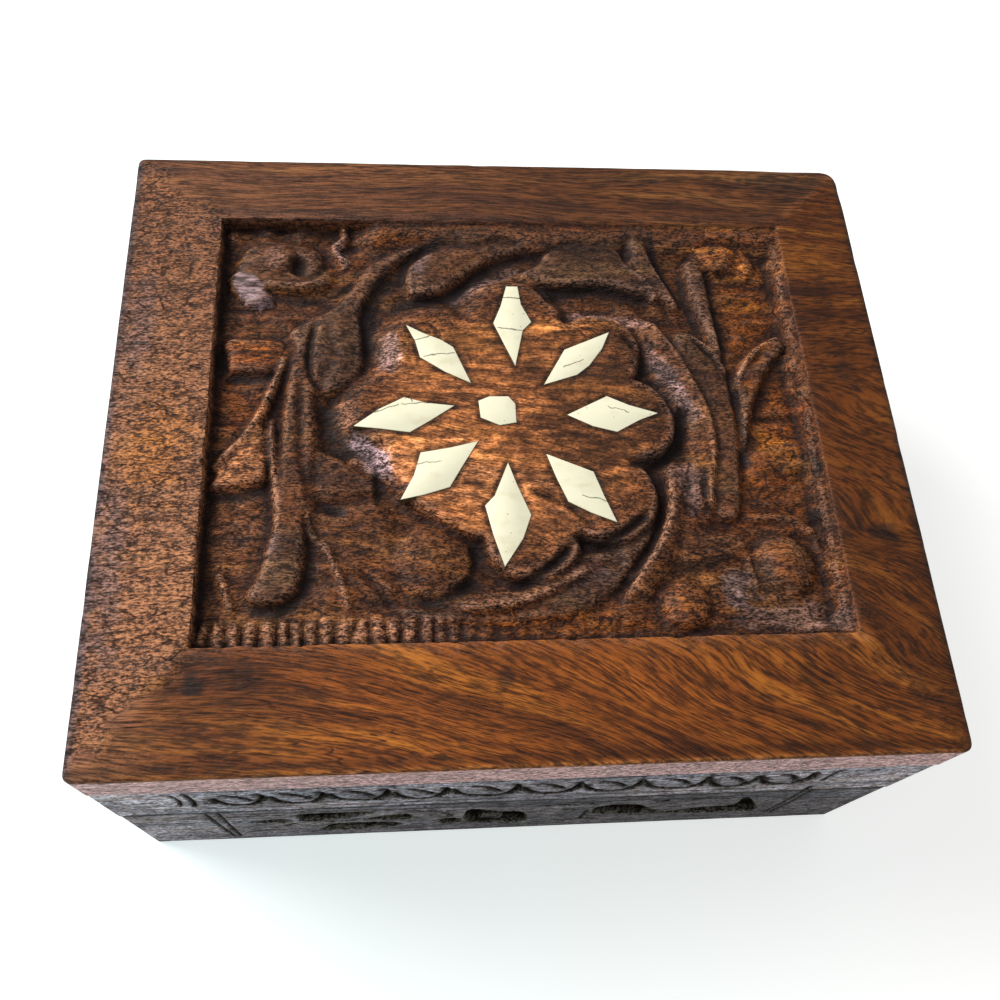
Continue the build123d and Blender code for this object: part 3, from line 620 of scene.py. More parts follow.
# Deep shade and grime in the hollows: the curve, how dark, and its width on the left and right
SHADES = (
    (((-21.2, 9.5), (-20.2, 13.0), (-19.4, 18.0), (-18.2, 22.0), (-15.6, 25.6)), 2.2, 1.5, 1.9),
    (((-17.8, 19.2), (-13.0, 20.0), (-9.0, 20.8), (-5.0, 23.8), (-1.5, 26.4), (2.4, 28.0)),
     2.2, 1.1, 1.2),
    (((4.2, 22.0), (9.0, 22.5), (14.5, 22.8), (18.0, 21.8), (21.8, 20.6)), 2.4, 1.1, 0.9),
    (((-14.5, 22.4), (-14.2, 25.2), (-13.4, 27.4), (-11.0, 29.4), (-8.0, 30.8)), 2.0, 0.9, 0.4),
    (((23.4, 3.6), (22.8, 0.0), (21.6, -2.6), (19.4, -4.8), (15.0, -5.8)), 1.8, 1.0, 0.9),
    (((-6.2, -16.0), (-6.0, -19.4), (-7.4, -22.2), (-10.0, -23.8), (-13.6, -24.0)), 1.8, 0.9, 0.9),
    (((-33.6, -23.8), (-31.8, -24.8), (-29.4, -24.6), (-27.2, -22.6), (-26.6, -19.6)), 2.0, 0.9, 1.0),
    (((-24.6, 4.0), (-24.0, 0.6), (-23.4, -2.0), (-21.8, -5.2)), 2.0, 1.5, 1.5),
    (((5.6, -16.2), (9.0, -16.9), (12.0, -16.2), (15.4, -13.8)), 1.6, 0.6, 0.9),
    (((-1.6, -22.6), (1.8, -21.4), (4.6, -19.4), (6.4, -17.2)), 1.6, 0.9, 0.7),
    (((12.8, -22.8), (14.6, -20.8), (16.8, -17.6), (18.6, -13.6)), 1.8, 0.55, 0.4),
    (((24.9, -6.0), (24.6, -9.4), (24.9, -13.2)), 2.0, 0.4, 0.5),
    (((-39.2, -11.0), (-39.4, -19.0), (-39.2, -28.6)), 1.6, 0.6, 0.8),
    (((-18.5, -6.0), (-18.0, -8.2), (-18.2, -10.6)), 2.2, 0.6, 0.6),
    (((18.6, -20.2), (22.6, -20.0), (27.2, -18.6)), 1.5, 0.9, 0.6),
    (((21.5, 33.6), (22.0, 29.6), (23.0, 25.4), (24.8, 20.6)), 2.2, 0.4, 0.6),
    (((31.3, 8.6), (31.0, 3.6), (31.3, -1.6), (30.5, -6.8)), 2.0, 0.5, 0.6),
    (((29.5, 26.6), (29.8, 21.0), (30.2, 15.6), (30.9, 11.0)), 1.4, 0.4, 0.9),
    (((25.7, 26.0), (25.8, 20.4), (27.2, 15.8)), 1.3, 0.8, 0.4),
    (((25.0, 15.4), (27.4, 12.4), (30.4, 8.8)), 1.4, 0.4, 0.9),
    (((-38.8, 12.6), (-38.9, 10.0), (-38.2, 8.6)), 2.6, 1.0, 1.0),
    (((-38.4, 8.2), (-35.0, 7.9), (-31.4, 8.4)), 1.6, 0.5, 0.7),
    (((-38.0, -9.4), (-35.0, -9.3), (-32.0, -8.4)), 1.6, 0.5, 0.8),
    (((-32.1, 6.0), (-31.9, 0.0), (-31.8, -7.0)), 1.6, 0.4, 0.4),
    (((40.0, -4.6), (40.2, -6.4), (40.0, -8.4)), 2.4, 0.7, 0.7),
    (((38.9, -12.2), (39.1, -13.6), (39.0, -14.8)), 2.4, 0.8, 0.7),
    (((-25.2, -11.2), (-23.8, -11.6), (-22.0, -12.4)), 2.6, 0.7, 0.7),
    (((-29.2, 20.6), (-26.0, 20.8), (-23.4, 22.0), (-21.4, 24.2)), 1.8, 0.5, 0.8),
    (((-10.5, -6.4), (-7.0, -8.2), (-4.0, -9.6), (0.0, -9.6)), 1.0, 0.7, 0.6))


def tone_field(c):
    """The carved field's main tones: dull torn ground, darker leaves and a golden brown middle."""
    raised = ramp(1.2, 2.0, c.z)
    c.fuzz += 0.85 - 0.25 * c.leafy
    c.lift += -0.92 - 0.40 * c.leafy
    c.warm += 0.22 - 0.65 * c.leafy
    golden = ramp(20.5, 15.5, np.hypot(c.x, c.y))
    c.lift += golden * raised * 0.86
    c.warm += golden * raised * 0.30
    c.bleach += golden * raised * 0.18
    c.fuzz -= golden * raised * 0.42
    streaky = 0.8 * c.noise(3.6, 0.62, 76) + 0.7 * c.noise(1.3, 0.6, 77)
    c.lift += streaky * (0.8 + 0.5 * golden * raised - 0.3 * c.leafy)


def pale_chips_and_lit_slopes(c):
    """Pale chips where the wood is dry and its surface is gone, and painted sheen on ramps that face the
    light.
    """
    c.patch([(-37.2, 25.0), (-35.5, 24.5), (-32.5, 21.0), (-32.7, 20.0), (-35.0, 19.0), (-36.5, 20.5),
             (-38.0, 23.0)], bleach=1.0, warm=-1.0, lift=0.35, fuzz=-0.5)
    c.patch([(-24.6, 31.5), (-22.8, 31.0), (-22.4, 28.6), (-21.6, 26.4), (-22.8, 26.2), (-24.2, 28.4)],
            bleach=0.7, warm=-0.5, lift=0.2)
    c.patch([(-17.6, 14.5), (-15.6, 15.0), (-14.8, 10.5), (-15.8, 8.0), (-17.8, 8.4), (-18.2, 11.0)],
            bleach=0.45, warm=-0.5, lift=0.2)
    c.patch([(-21.5, 0.0), (-19.5, -1.2), (-16.5, -5.0), (-16.2, -7.6), (-18.4, -7.4), (-20.5, -4.6),
             (-22.0, -2.4)], bleach=0.45, warm=-0.9)
    c.patch([(6.0, 18.4), (12.0, 19.2), (20.5, 17.4), (20.0, 15.8), (14.0, 16.6), (8.0, 17.2)],
            bleach=0.4, warm=-0.4, lift=0.2)
    c.patch([(-8.0, 19.5), (-4.0, 22.0), (0.0, 24.6), (2.6, 26.4), (0.4, 26.8), (-4.0, 24.6),
             (-8.6, 21.6)], bleach=0.4, warm=-0.5, lift=0.2)
    c.patch([(19.5, 13.2), (22.5, 9.0), (25.0, 3.0), (26.2, 0.8), (24.2, 0.6), (22.0, 5.6),
             (19.0, 10.6)], bleach=0.35, warm=-0.4, lift=0.15)
    c.patch([(19.2, -5.4), (24.0, -5.6), (24.2, -12.8), (22.4, -13.0), (20.8, -9.0)],
            bleach=0.3, warm=-0.4)
    c.stain((-32.0, 27.2), (1.2, 3.0), bleach=0.35)
    c.stain((-16.2, 11.4), (1.7, 4.2), -8, bleach=0.3)
    c.stain((-19.5, -3.6), (4.6, 1.9), -42, bleach=0.3, warm=-0.4)
    c.stain((-22.5, 1.4), (1.6, 3.6), bleach=0.45)
    c.stain((22.4, 6.0), (2.0, 9.0), 22, bleach=0.3, warm=-0.3)
    c.stain((-3, 22.8), (7.6, 1.9), 26, bleach=0.3)
    c.stain((13, 17.9), (8.4, 1.5), -14, bleach=0.3)
    c.stain((-12.0, 26.4), (1.6, 3.2), -30, bleach=0.4, warm=-0.5)
    c.stain((-11.6, 22.2), (2.2, 0.7), bleach=0.4, warm=0.5)
    c.stain((-1, -23.4), (5, 1.6), 15, bleach=0.35)
    c.stain((9.5, -20.6), (4.6, 2.2), 20, bleach=0.15, warm=-0.4)


def colour_ground(c):
    """Broad patches that are more orange, lighter or darker than the rest of the field."""
    c.stain((-8, -7), (13, 6), -20, lift=1.05, bleach=0.15)
    c.stain((13, 2), (11, 12), lift=-1.35)
    c.stain((-2, 15), (11, 5), lift=-0.55)
    c.stain((-10.4, -14.9), (4.6, 1.5), lift=-0.45, warm=0.2)
    c.stain((-34.6, 11.0), (4.6, 3.2), warm=0.6, lift=1.35)
    c.stain((-35.8, 3.5), (4.0, 4.4), warm=0.6, lift=0.7)
    c.stain((-35, -5.5), (4.4, 4.0), warm=0.2, lift=1.0, bleach=0.25)
    c.stain((-35.6, -14), (4, 6), warm=0.1, lift=0.25, bleach=0.15)
    c.stain((35.5, 0), (5.6, 10), warm=0.8, lift=0.35)
    c.stain((35.5, 18), (6, 8), warm=0.8, lift=0.3)
    c.stain((31.4, 28.4), (3.6, 3.2), warm=0.4, lift=0.8)
    c.stain((35.6, 27.4), (1.3, 2.6), warm=0.2, lift=1.0)
    c.stain((-32, 26.5), (6, 4.5), lift=0.45)
    c.stain((32.5, -8.0), (5, 2.2), warm=0.6, lift=0.35)
    c.stain((20.3, -25.3), (3.6, 3.4), warm=0.5, lift=0.45)
    c.stain((33.9, -20.2), (3.8, 4.6), warm=0.8, lift=0.85)
    c.stain((28.5, -13.4), (6, 3.0), warm=0.5, lift=0.3)
    c.stain((34, -27), (9, 2.6), bleach=0.28, warm=-0.7, lift=-0.35)
    c.stain((27.6, -22.8), (2.6, 3.4), bleach=0.35, warm=-1.2, lift=-0.2)
    c.stain((6, -27.6), (11, 2.6), warm=0.7)
    c.stain((-24, -27.6), (15, 1.8), bleach=0.25, lift=0.1)
    c.stain((-21, -20), (5, 5), warm=0.25, lift=0.1)
    c.stain((2, 30.6), (18, 2.6), lift=-0.1, warm=-0.3)
    c.stain((11, 26.5), (8, 4), lift=-0.5)
    c.stain((-6, 28), (8, 4), 20, lift=0.3, warm=0.3)
    c.stain((-18, 24), (5, 6), 40, lift=0.2, warm=0.3)
    c.stain((6, -27), (12, 2.4), lift=0.25, warm=0.2)
    c.stain((36, -2), (5, 12), lift=0.3, warm=0.3)
    c.stain((1, -27.4), (9, 2.0), lift=0.3, warm=0.3)
    c.stain((28.5, -2), (4, 12), lift=0.2, warm=0.35)
    c.stain((-28.5, 0), (3, 14), lift=-0.45)
    c.stain((-31, 26), (7, 6), warm=0.35)
    c.stain((1.6, -15.6), (6, 3.6), -20, lift=-0.4)
    c.stain((-16, 31.5), (6, 2.2), lift=0.25, warm=0.4)
    # Painted shadow along the back left of the field and along its left wall, where the walls' shade falls
    c.stain((-28, 31.5), (10, 1.6), lift=-0.7)
    c.stain((-39.4, 22), (1.2, 12), lift=-1.1)


def stain_field(c):
    """All colours of the carved field, from its main tones to the shade in its hollows."""
    tone_field(c)
    pale_chips_and_lit_slopes(c)
    colour_ground(c)
    for points, amount, left, right in SHADES:
        c.shade(points, amount, left, right)


# Helpers that make meshes

# What each point of a carved mesh tells its wood: how sunk (grime and painted shade), rubbed and lit
# (wear with a painted highlight), warm, bright as a power of 2 (painted shade included), pale (dry fibres
# and painted sheen) and torn it is
WEAR = ("hollow", "worn", "warm", "lift", "bleach", "fuzz")


def add_piece(name, mesh, body, slot, *nodes):
    """Links a finished mesh as a piece that rides on a body and stands for CAD nodes."""
    piece = bpy.data.objects.new(name, mesh)
    bpy.context.scene.collection.objects.link(piece)
    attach(piece, body)
    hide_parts(*nodes)
    return piece


def read_points(mesh):
    """A mesh's points in millimetres."""
    flat = np.zeros(len(mesh.vertices) * 3)
    mesh.vertices.foreach_get("co", flat)
    return flat.reshape(-1, 3) / MM


def write_points(mesh, points):
    """Moves a mesh's points to those places in millimetres."""
    mesh.vertices.foreach_set("co", (points * MM).ravel())
    mesh.update()


def write_values(mesh, values):
    """Stores named values, one for each point, as attributes that the wood reads."""
    for name, value in values.items():
        attribute = mesh.attributes.new(name, "FLOAT", "POINT")
        attribute.data.foreach_set("value", value.astype(np.float32))


def smooth_with_creases(mesh, angle):
    """Shades a mesh smooth except across edges sharper than angle, in degrees."""
    mesh.shade_smooth()
    mesh.set_sharp_from_angle(angle=math.radians(angle))


def grid_mesh(name, columns, rows):
    """A flat grid of that many points each way, with each point's column and row."""
    bm = bmesh.new()
    bmesh.ops.create_grid(bm, x_segments=columns - 1, y_segments=rows - 1, size=0.5)
    bmesh.ops.translate(bm, verts=bm.verts, vec=(0.5, 0.5, 0))
    mesh = bpy.data.meshes.new(name)
    bm.to_mesh(mesh)
    bm.free()
    unit = read_points(mesh) * MM
    column = np.rint(unit[:, 0] * (columns - 1)).astype(int)
    row = np.rint(unit[:, 1] * (rows - 1)).astype(int)
    return mesh, column, row


def blurred(values, reach):
    """Mean of a grid of values over a square of that many cells each way."""
    for axis in (0, 1):
        padded = np.pad(values, [(reach + 1, reach) if a == axis else (0, 0) for a in (0, 1)], "edge")
        sums = np.cumsum(padded, axis=axis)
        span = 2 * reach + 1
        top = np.take(sums, range(span, sums.shape[axis]), axis)
        low = np.take(sums, range(sums.shape[axis] - span), axis)
        values = (top - low) / span
    return values


def hollows_and_edges(height):
    """Where a grid of heights lies below and above its surroundings, each from 0 to 1."""
    wide = height - blurred(height, 4)
    fine = height - blurred(height, 1)
    hollow = np.clip(-wide / 0.42, 0, 1) + 0.4 * np.clip(-fine / 0.12, 0, 1)
    edge = np.clip(wide / 0.7, 0, 1) * 0.6 + np.clip(fine / 0.14, 0, 1) * 0.6
    return np.clip(hollow, 0, 1), np.clip(edge, 0, 1)


# The top board

# Spacing of the board's grid lines from its edge, round the field's wall, and over the margins
RIM_STEPS = np.array((0.0, 0.12, 0.3, 0.55, 0.9, 1.4))
WALL_STEPS = np.array((-0.3, -0.12, 0.0, 0.14, 0.3))
MARGIN_STEP = 0.8


def board_lines(low, high, field_low, field_high, step):
    """Grid lines across the board, close together at its worn edges and over the field."""
    field = np.arange(field_low + 0.5, field_high - 0.5, step)
    near = np.arange(low + RIM_STEPS[-1] + MARGIN_STEP / 2, field_low - 0.5, MARGIN_STEP)
    far = np.arange(field_high + 0.5, high - RIM_STEPS[-1] - MARGIN_STEP / 3, MARGIN_STEP)
    walls = (field_low + WALL_STEPS, field_high - WALL_STEPS)
    return np.sort(np.concatenate([low + RIM_STEPS, near, field, far, high - RIM_STEPS, *walls]))


def round_corners(x, y, half_x, half_y, radii):
    """Pulls a square-cornered grid in to rounded corners; returns the distance from the edge too."""
    x = x.copy()
    y = y.copy()
    edge = np.minimum(half_x - np.abs(x), half_y - np.abs(y))
    for (side_x, side_y), radius in radii.items():
        a = x * side_x - (half_x - radius)
        b = y * side_y - (half_y - radius)
        at = (a > 0) & (b > 0)
        reach = np.maximum(a[at], b[at])
        pull = reach / np.maximum(np.hypot(a[at], b[at]), 1e-9)
        x[at] = side_x * (half_x - radius + a[at] * pull)
        y[at] = side_y * (half_y - radius + b[at] * pull)
        edge[at] = radius - reach
    return x, y, edge


# The board's corner radii by side in x and y, the levels of its edge band, how far its underside
# draws in, and its margins' widths
CORNER_RADII = {(-1, -1): 1.1, (1, -1): 1.2, (-1, 1): 1.1, (1, 1): 2.4}
BAND_ROWS = (47.6, 45.4, 43.4, 41.6, 40.8)
UNDERSIDE_INSET = 0.2
MARGIN_WIDTHS = {"left": 12.8, "right": 11.6, "front": 14.9, "back": 11.6}

# How the left, right, front and back margins' colours blend at the mitres
MARGIN_BLENDS = ((0.16, -0.12), (0.12, -0.12), (0.12, -0.16), (0.12, -0.12))

# The colours of the board's edge band: plain wood, and the front, greyed by weathering and a painted
# reflection of the pale table
PLAIN_BAND = {"bleach": 0.15, "lift": -0.35, "warm": 0.0, "fuzz": 0.35, "hollow": 0.0, "worn": 0.0}
WEATHERED_SHEEN_BAND = {"bleach": 0.8, "lift": 0.8, "warm": -0.55, "fuzz": 0.4, "hollow": 0.0, "worn": 0.0}


def margin_shares(x, y):
    """How far up the left, right, front and back margin slopes a point is, 1 at the field."""
    half_x, half_y = BOARD_HIGH[0], BOARD_HIGH[1]
    width = MARGIN_WIDTHS
    return np.stack([
        (x + half_x) / width["left"], (half_x - x) / width["right"],
        (y + half_y) / width["front"], (half_y - y) / width["back"]])


def stain_margins(c):
    """The colours of the four margins: fibrous pink-brown on the left, orange-brown in front."""
    shares = margin_shares(c.x, c.y)
    waver = 0.12 * c.noise(3.0, 2.0, 31) + 0.06 * c.noise(0.7, 0.5, 32)
    left, right, front, back = (
        ramp(low, high, shares[side] - np.delete(shares, side, axis=0).min(axis=0) + waver)
        for side, (low, high) in enumerate(MARGIN_BLENDS))
    c.fuzz += 0.75 * left + 0.25 * back + 0.25 * front + 0.3 * right
    # The left margin, sloping towards the light, is paler and pinker: its own colour with a painted sheen
    c.bleach += left * (0.40 - 0.16 * ramp(0, 32, c.y)) + front * 0.26 * ramp(-38, -48, c.x)
    c.warm += left * 0.35 + front * (0.4 + 0.7 * ramp(-50, -36, c.x)) + right + back * 0.15
    dull_ends = 0.75 * ramp(-18, -40, c.x) + 0.5 * ramp(10, 44, c.x)
    c.lift += -(0.62 + 0.18 * ramp(0, 28, c.y)) * left - front * (0.15 + dull_ends)
    c.lift += -1.0 * right - 0.84 * back - 0.2 * right * ramp(-20, -40, c.y)
    c.lift += -0.15 * back * ramp(-20, 45, c.x)
    c.bleach += back * (0.12 - 0.12 * ramp(-30, 20, c.x))
    c.stain((-38.8, -34.4), (1.6, 1.2), lift=-2.2, warm=-0.8)
    c.stain((-33.5, -33.2), (3.2, 2.0), lift=-1.3, warm=-0.4)
    c.stain((-3.0, -34.5), (1.3, 1.3), lift=-1.3, warm=-1.0)
    c.stain((34.5, -35.2), (2.8, 1.8), lift=-0.8, warm=-0.5)
    c.stain((47.4, -16.5), (2.4, 1.6), lift=-1.4, warm=-0.9)
    c.stain((46.5, 8), (1.6, 4.0), lift=-0.9, warm=-0.6)
    c.stain((46, 22), (2.0, 5.0), lift=-0.4, warm=-0.3)
    c.stain((6, -41), (18, 3), -20, lift=-0.3)
    c.stain((-30, -37), (9, 2.2), -10, lift=-0.35, warm=0.2)
    c.stain((-14, -38), (14, 2.2), -16, lift=0.25, warm=0.2)
    c.stain((16, -36), (14, 2.4), -18, lift=0.25, warm=0.2)
    c.stain((44, 42), (9, 3), lift=-0.6, warm=-0.4)
    c.stain((20, 42.5), (22, 1.6), lift=-0.5, warm=-0.2)
    c.stain((-46, -4), (5, 9), warm=0.5, lift=0.1)
    c.stain((-49.5, 16), (2.4, 12), warm=-0.5, lift=-0.2)
    c.stain((-50, -20), (2.0, 14), warm=-0.6, lift=-0.15)
    # Checks and cracks
    c.cut([(-47.4, 13.5), (-47.2, 9.5), (-47.5, 6.5), (-47.3, 4.0)], 0.10, 0.16, 0.16, 0.1, 9.0)
    c.cut([(-52.3, 4.0), (-50.6, 4.2), (-49.0, 3.7), (-46.4, 4.4)], 0.16, 0.2, 0.2, 0.1, 9.0)
    c.cut([(-44.0, 3.6), (-41.4, 3.2)], 0.12, 0.2, 0.2, 0.1, 9.0)
    c.cut([(30.0, -30.6), (34.0, -31.0), (39.0, -31.6), (45.0, -33.0)], 0.12, 0.2, 0.2, 0.2, 8.0)
    c.cut([(41.6, -16.0), (46.0, -16.4), (50.6, -17.6)], 0.12, 0.25, 0.25, 0.2, 8.0)
    c.cut([(43.0, 12.0), (46.5, 10.6), (50.0, 10.4)], 0.10, 0.2, 0.2, 0.2, 8.0)


def board_height(c, edge, carving, scratches):
    """Heights of the whole board's upper face, in millimetres above the table."""
    rim_top = BOARD_HIGH[2]
    share = margin_shares(c.x, c.y).min(axis=0)
    fall = carving.margin_fall / MM
    margin = rim_top - fall * (1 - np.clip(share / 0.95, 0, 1))
    margin += 0.05 * c.noise(14, 9, 41) - 0.06 + 0.02 * c.noise(3, 1.2, 42) + scratches
    left = carving.field_left / MM
    right = carving.field_right / MM
    front = carving.field_front / MM
    back = carving.field_back / MM
    within = np.minimum(np.minimum(c.x - left, right - c.x), np.minimum(c.y - front, back - c.y))
    soft = ramp(-22, -17, c.x) * ramp(1.6, 0.4, back - c.y)
    within += 0.10 * c.noise(1.8, 1.8, 43) + 0.05 * c.noise(0.6, 0.6, 44)
    ground = rim_top - carving.field_depth / MM
    field = ground + c.z
    wall = ramp(-0.12, 0.26, within)
    height = margin * (1 - wall) + field * wall
    height -= 0.18 * soft * ramp(0.5, 0.1, np.abs(within))
    radius = carving.edge_round / MM * (1 + 0.9 * ramp(30, 48, c.x) * ramp(36, 43, c.y))
    radius *= 1 + 0.25 * c.noise(4, 4, 45)
    inset = np.clip(radius - edge, 0, radius)
    height -= radius - np.sqrt(np.maximum(radius ** 2 - inset ** 2, 0))
    height -= 0.10 * ramp(0.7, 0.0, edge) * ramp(0.45, 0.9, c.noise(3.1, 3.1, 46))
    return np.minimum(height, rim_top), wall


def sink_under_inlays(c, height, outlines):
    """Lowers the wood well inside each inlay, so that it can't show through."""
    for outline in outlines:
        at, x, y = c.near(outline, 0.5)
        d = depth_inside(x, y, outline, rounded=False)
        height[at] -= 0.35 * ramp(0.3, 0.6, d)
        groove = ramp(0.55, 0.1, np.abs(d + 0.12))
        height[at] -= 0.06 * groove
        # Grime and painted shade in the groove round each inlay
        c.lift[at] -= (1.3 + 0.9 * noise(x, y, 2.4, 2.4, 75)) * groove
    return height


def clean_inlay(bm, node):
    """Reads an inlay's CAD faces, joins their triangles and returns the top face."""
    bm.from_mesh(frame["nodes"][node].data)
    bmesh.ops.remove_doubles(bm, verts=bm.verts, dist=1e-6)
    bmesh.ops.dissolve_limit(bm, angle_limit=math.radians(1), verts=bm.verts, edges=bm.edges)
    bmesh.ops.recalc_face_normals(bm, faces=bm.faces)
    return max(bm.faces, key=lambda f: f.calc_center_median().z)


def inlay_outline(node):
    """The corners of an inlay's top face, in millimetres."""
    bm = bmesh.new()
    top = clean_inlay(bm, node)
    corners = [(v.co.x / MM, v.co.y / MM) for v in top.verts]
    bm.free()
    return corners


def shade_board(c, height, wall, row, column):
    """Shade in the hollows, light on the ridges, and the board's dull or rubbed outer edges."""
    half_x, half_y = BOARD_HIGH[0], BOARD_HIGH[1]
    grid = np.zeros((row.max() + 1, column.max() + 1))
    grid[row, column] = height
    hollow, worn = hollows_and_edges(blurred(grid, 1))
    sunk = (blurred(grid, 9) - blurred(grid, 1))[row, column]
    # Painted shade in broad hollows, and painted light on ground that stands above its surroundings
    c.lift -= 1.1 * ramp(0.15, 1.1, sunk) * wall
    c.lift += 0.35 * ramp(0.1, 0.8, -sunk) * wall
    flank = ramp(1.3, 0.2, half_x - np.abs(c.x)) * (0.75 + 0.45 * c.noise(5, 5, 47))
    front_line = ramp(0.7, 0.25, np.abs(c.y + half_y - 1.1)) * ramp(0.3, 1.2, half_x - np.abs(c.x))
    front_arris = ramp(0.55, 0.15, c.y + half_y) * (0.7 + 0.3 * c.noise(1.5, 1.5, 49))
    back_arris = ramp(0.9, 0.2, half_y - c.y) * (0.6 + 0.4 * c.noise(5, 5, 50))
    c.lift -= 1.3 * flank + 0.7 * front_line + 0.8 * back_arris
    c.warm -= 1.5 * flank
    c.bleach += 0.5 * front_arris
    return {
        "hollow": hollow[row, column], "worn": worn[row, column] * (0.3 + 0.7 * wall),
        "warm": c.warm, "lift": c.lift, "bleach": np.clip(c.bleach, 0, 1), "fuzz": np.clip(c.fuzz, 0, 1)}


def build_top_board():
    """The board: a fine grid over its upper face, with its sides and underside pulled down from it."""
    carving = settings().carving
    step = carving.grid_step / MM
    half_x, half_y = BOARD_HIGH[0], BOARD_HIGH[1]
    xs = board_lines(-half_x, half_x, carving.field_left / MM, carving.field_right / MM, step)
    ys = board_lines(-half_y, half_y, carving.field_front / MM, carving.field_back / MM, step)
    mesh, column, row = grid_mesh("lid_top_board_carved", len(xs), len(ys))
    x, y, edge = round_corners(xs[column], ys[row], half_x, half_y, CORNER_RADII)
    c = Carving(x, y)
    carve_wreath(c)
    carve_sides(c)
    carve_front(c)
    carve_medallion(c, carving.medallion_rise / MM)
    c.z = softened(c.z, row, column)
    c.lift = softened(c.lift, row, column)
    mark_with_tools(c)
    c.z = np.clip(c.z, -0.9, carving.medallion_rise / MM + 0.02)
    margins = Carving(x, y)
    stain_margins(margins)
    height, wall = board_height(c, edge, carving, margins.z)
    stain_field(c)
    for name in ("warm", "lift", "bleach", "fuzz"):
        setattr(c, name, getattr(c, name) * wall + getattr(margins, name) * (1 - wall))
    height = sink_under_inlays(c, height, [inlay_outline(node) for node in INLAYS])
    write_points(mesh, np.stack([x, y, height], axis=1))
    write_values(mesh, shade_board(c, height, wall, row, column))
    pull_down_sides(mesh)
    smooth_with_creases(mesh, 62)
    return mesh


def pull_down_sides(mesh):
    """Closes the board: its edge band row by row, then its underside."""
    bm = bmesh.new()
    bm.from_mesh(mesh)
    rim = [e for e in bm.edges if e.is_boundary]
    bottom = BOARD_LOW[2]
    for level in BAND_ROWS + (bottom,):
        out = bmesh.ops.extrude_edge_only(bm, edges=rim)["geom"]
        points = [g for g in out if isinstance(g, bmesh.types.BMVert)]
        rim = [g for g in out if isinstance(g, bmesh.types.BMEdge)]
        for v in points:
            v.co.z = level * MM
            if level == bottom:
                v.co.x -= math.copysign(UNDERSIDE_INSET * MM, v.co.x)
                v.co.y -= math.copysign(UNDERSIDE_INSET * MM, v.co.y)
    bmesh.ops.contextual_create(bm, geom=rim)
    bmesh.ops.recalc_face_normals(bm, faces=bm.faces)
    bm.to_mesh(mesh)
    bm.free()
    points = read_points(mesh)
    band = (points[:, 2] < BAND_ROWS[0] + 0.01) & (points[:, 2] > bottom + 0.01)
    dent = 0.012 + 0.012 * noise(points[:, 0] + points[:, 1], points[:, 2], 9, 3, 48)
    for axis, half in ((0, BOARD_HIGH[0]), (1, BOARD_HIGH[1])):
        at = band & (np.abs(points[:, axis]) > half - 0.01)
        points[at, axis] -= np.sign(points[at, axis]) * dent[at]
    write_points(mesh, points)
    outer = (BOARD_HIGH[:2] - np.abs(points[:, :2])).min(axis=1) < 0.5
    band_or_under = outer & (points[:, 2] < BAND_ROWS[0] + 0.01)
    front = band_or_under & (points[:, 1] < 0.5 - BOARD_HIGH[1]) & (points[:, 2] > bottom + 0.01)
    for name in WEAR:
        data = mesh.attributes[name].data
        values = np.zeros(len(points), np.float32)
        data.foreach_get("value", values)
        values[band_or_under] = PLAIN_BAND[name]
        values[front] = WEATHERED_SHEEN_BAND[name]
        data.foreach_set("value", values)


class TRINKET_OT_top_board(bpy.types.Operator):
    """Model the carved top board of the lid"""

    bl_idname = "trinket.top_board"
    bl_label = "Carved top board"

    def execute(self, context):
        mesh = build_top_board()
        mesh.materials.append(carved_wood("board_rosewood", drift=1.0))
        add_piece("lid_top_board_carved", mesh, "lid", "board_wood", "lid_top_board")
        return {"FINISHED"}


# The bone inlay: its bevel, and the most that a petal leans, in degrees

INLAY_BEVEL = 0.14
INLAY_TILT = 0.12


def build_inlay(node, number):
    """A bone petal: its CAD outline with a bevelled upper edge, a little uneven in height."""
    bm = bmesh.new()
    top = clean_inlay(bm, node)
    bmesh.ops.bevel(
        bm, geom=list(top.edges) + list(top.verts), offset=INLAY_BEVEL * MM, segments=2, profile=0.5,
        affect="EDGES", material=-1)
    middle = sum((v.co for v in bm.verts), Vector()) / len(bm.verts)
    tilt = Matrix.Rotation(math.radians(INLAY_TILT * math.sin(2.4 * number)), 3, "X")
    bmesh.ops.rotate(bm, verts=bm.verts, cent=middle, matrix=tilt)
    mesh = bpy.data.meshes.new(node + "_bone")
    bm.to_mesh(mesh)
    bm.free()
    smooth_with_creases(mesh, 50)
    return mesh


class TRINKET_OT_inlay(bpy.types.Operator):
    """Model the bone petals and the bone centre of the flower"""

    bl_idname = "trinket.inlay"
    bl_label = "Bone inlay"

    def execute(self, context):
        material = bone_material()
        for number, node in enumerate(INLAYS):
            mesh = build_inlay(node, number)
            mesh.materials.append(material)
            add_piece(node + "_bone", mesh, "lid", "bone", node)
        return {"FINISHED"}


# The lid's rails and the base's walls: one profile along each side, carved on its outer face

QUARTER_TURN = math.pi / 2

# Rise of the bevel behind the hinge line, as in the CAD
BEVEL_RISE = math.tan(math.radians(51.5))

# Steps round an upright corner, up to the mitre
END_ANGLES = np.radians((15, 30, 45))

# Ends of the tongues along the front rail, and the half length that they are placed for
RAIL_TONGUES = (-39.5, -32.5, -25.0, -17.0, -9.5, -0.5, 7.5, 15.5, 24.2, 31.0, 38.2)
RAIL_HALF = 52.4

# Only the front is longer than this each way; the shorter sides repeat its pattern at this share
FRONT_MIN_HALF = 50.0
SIDE_SHARE = 0.8

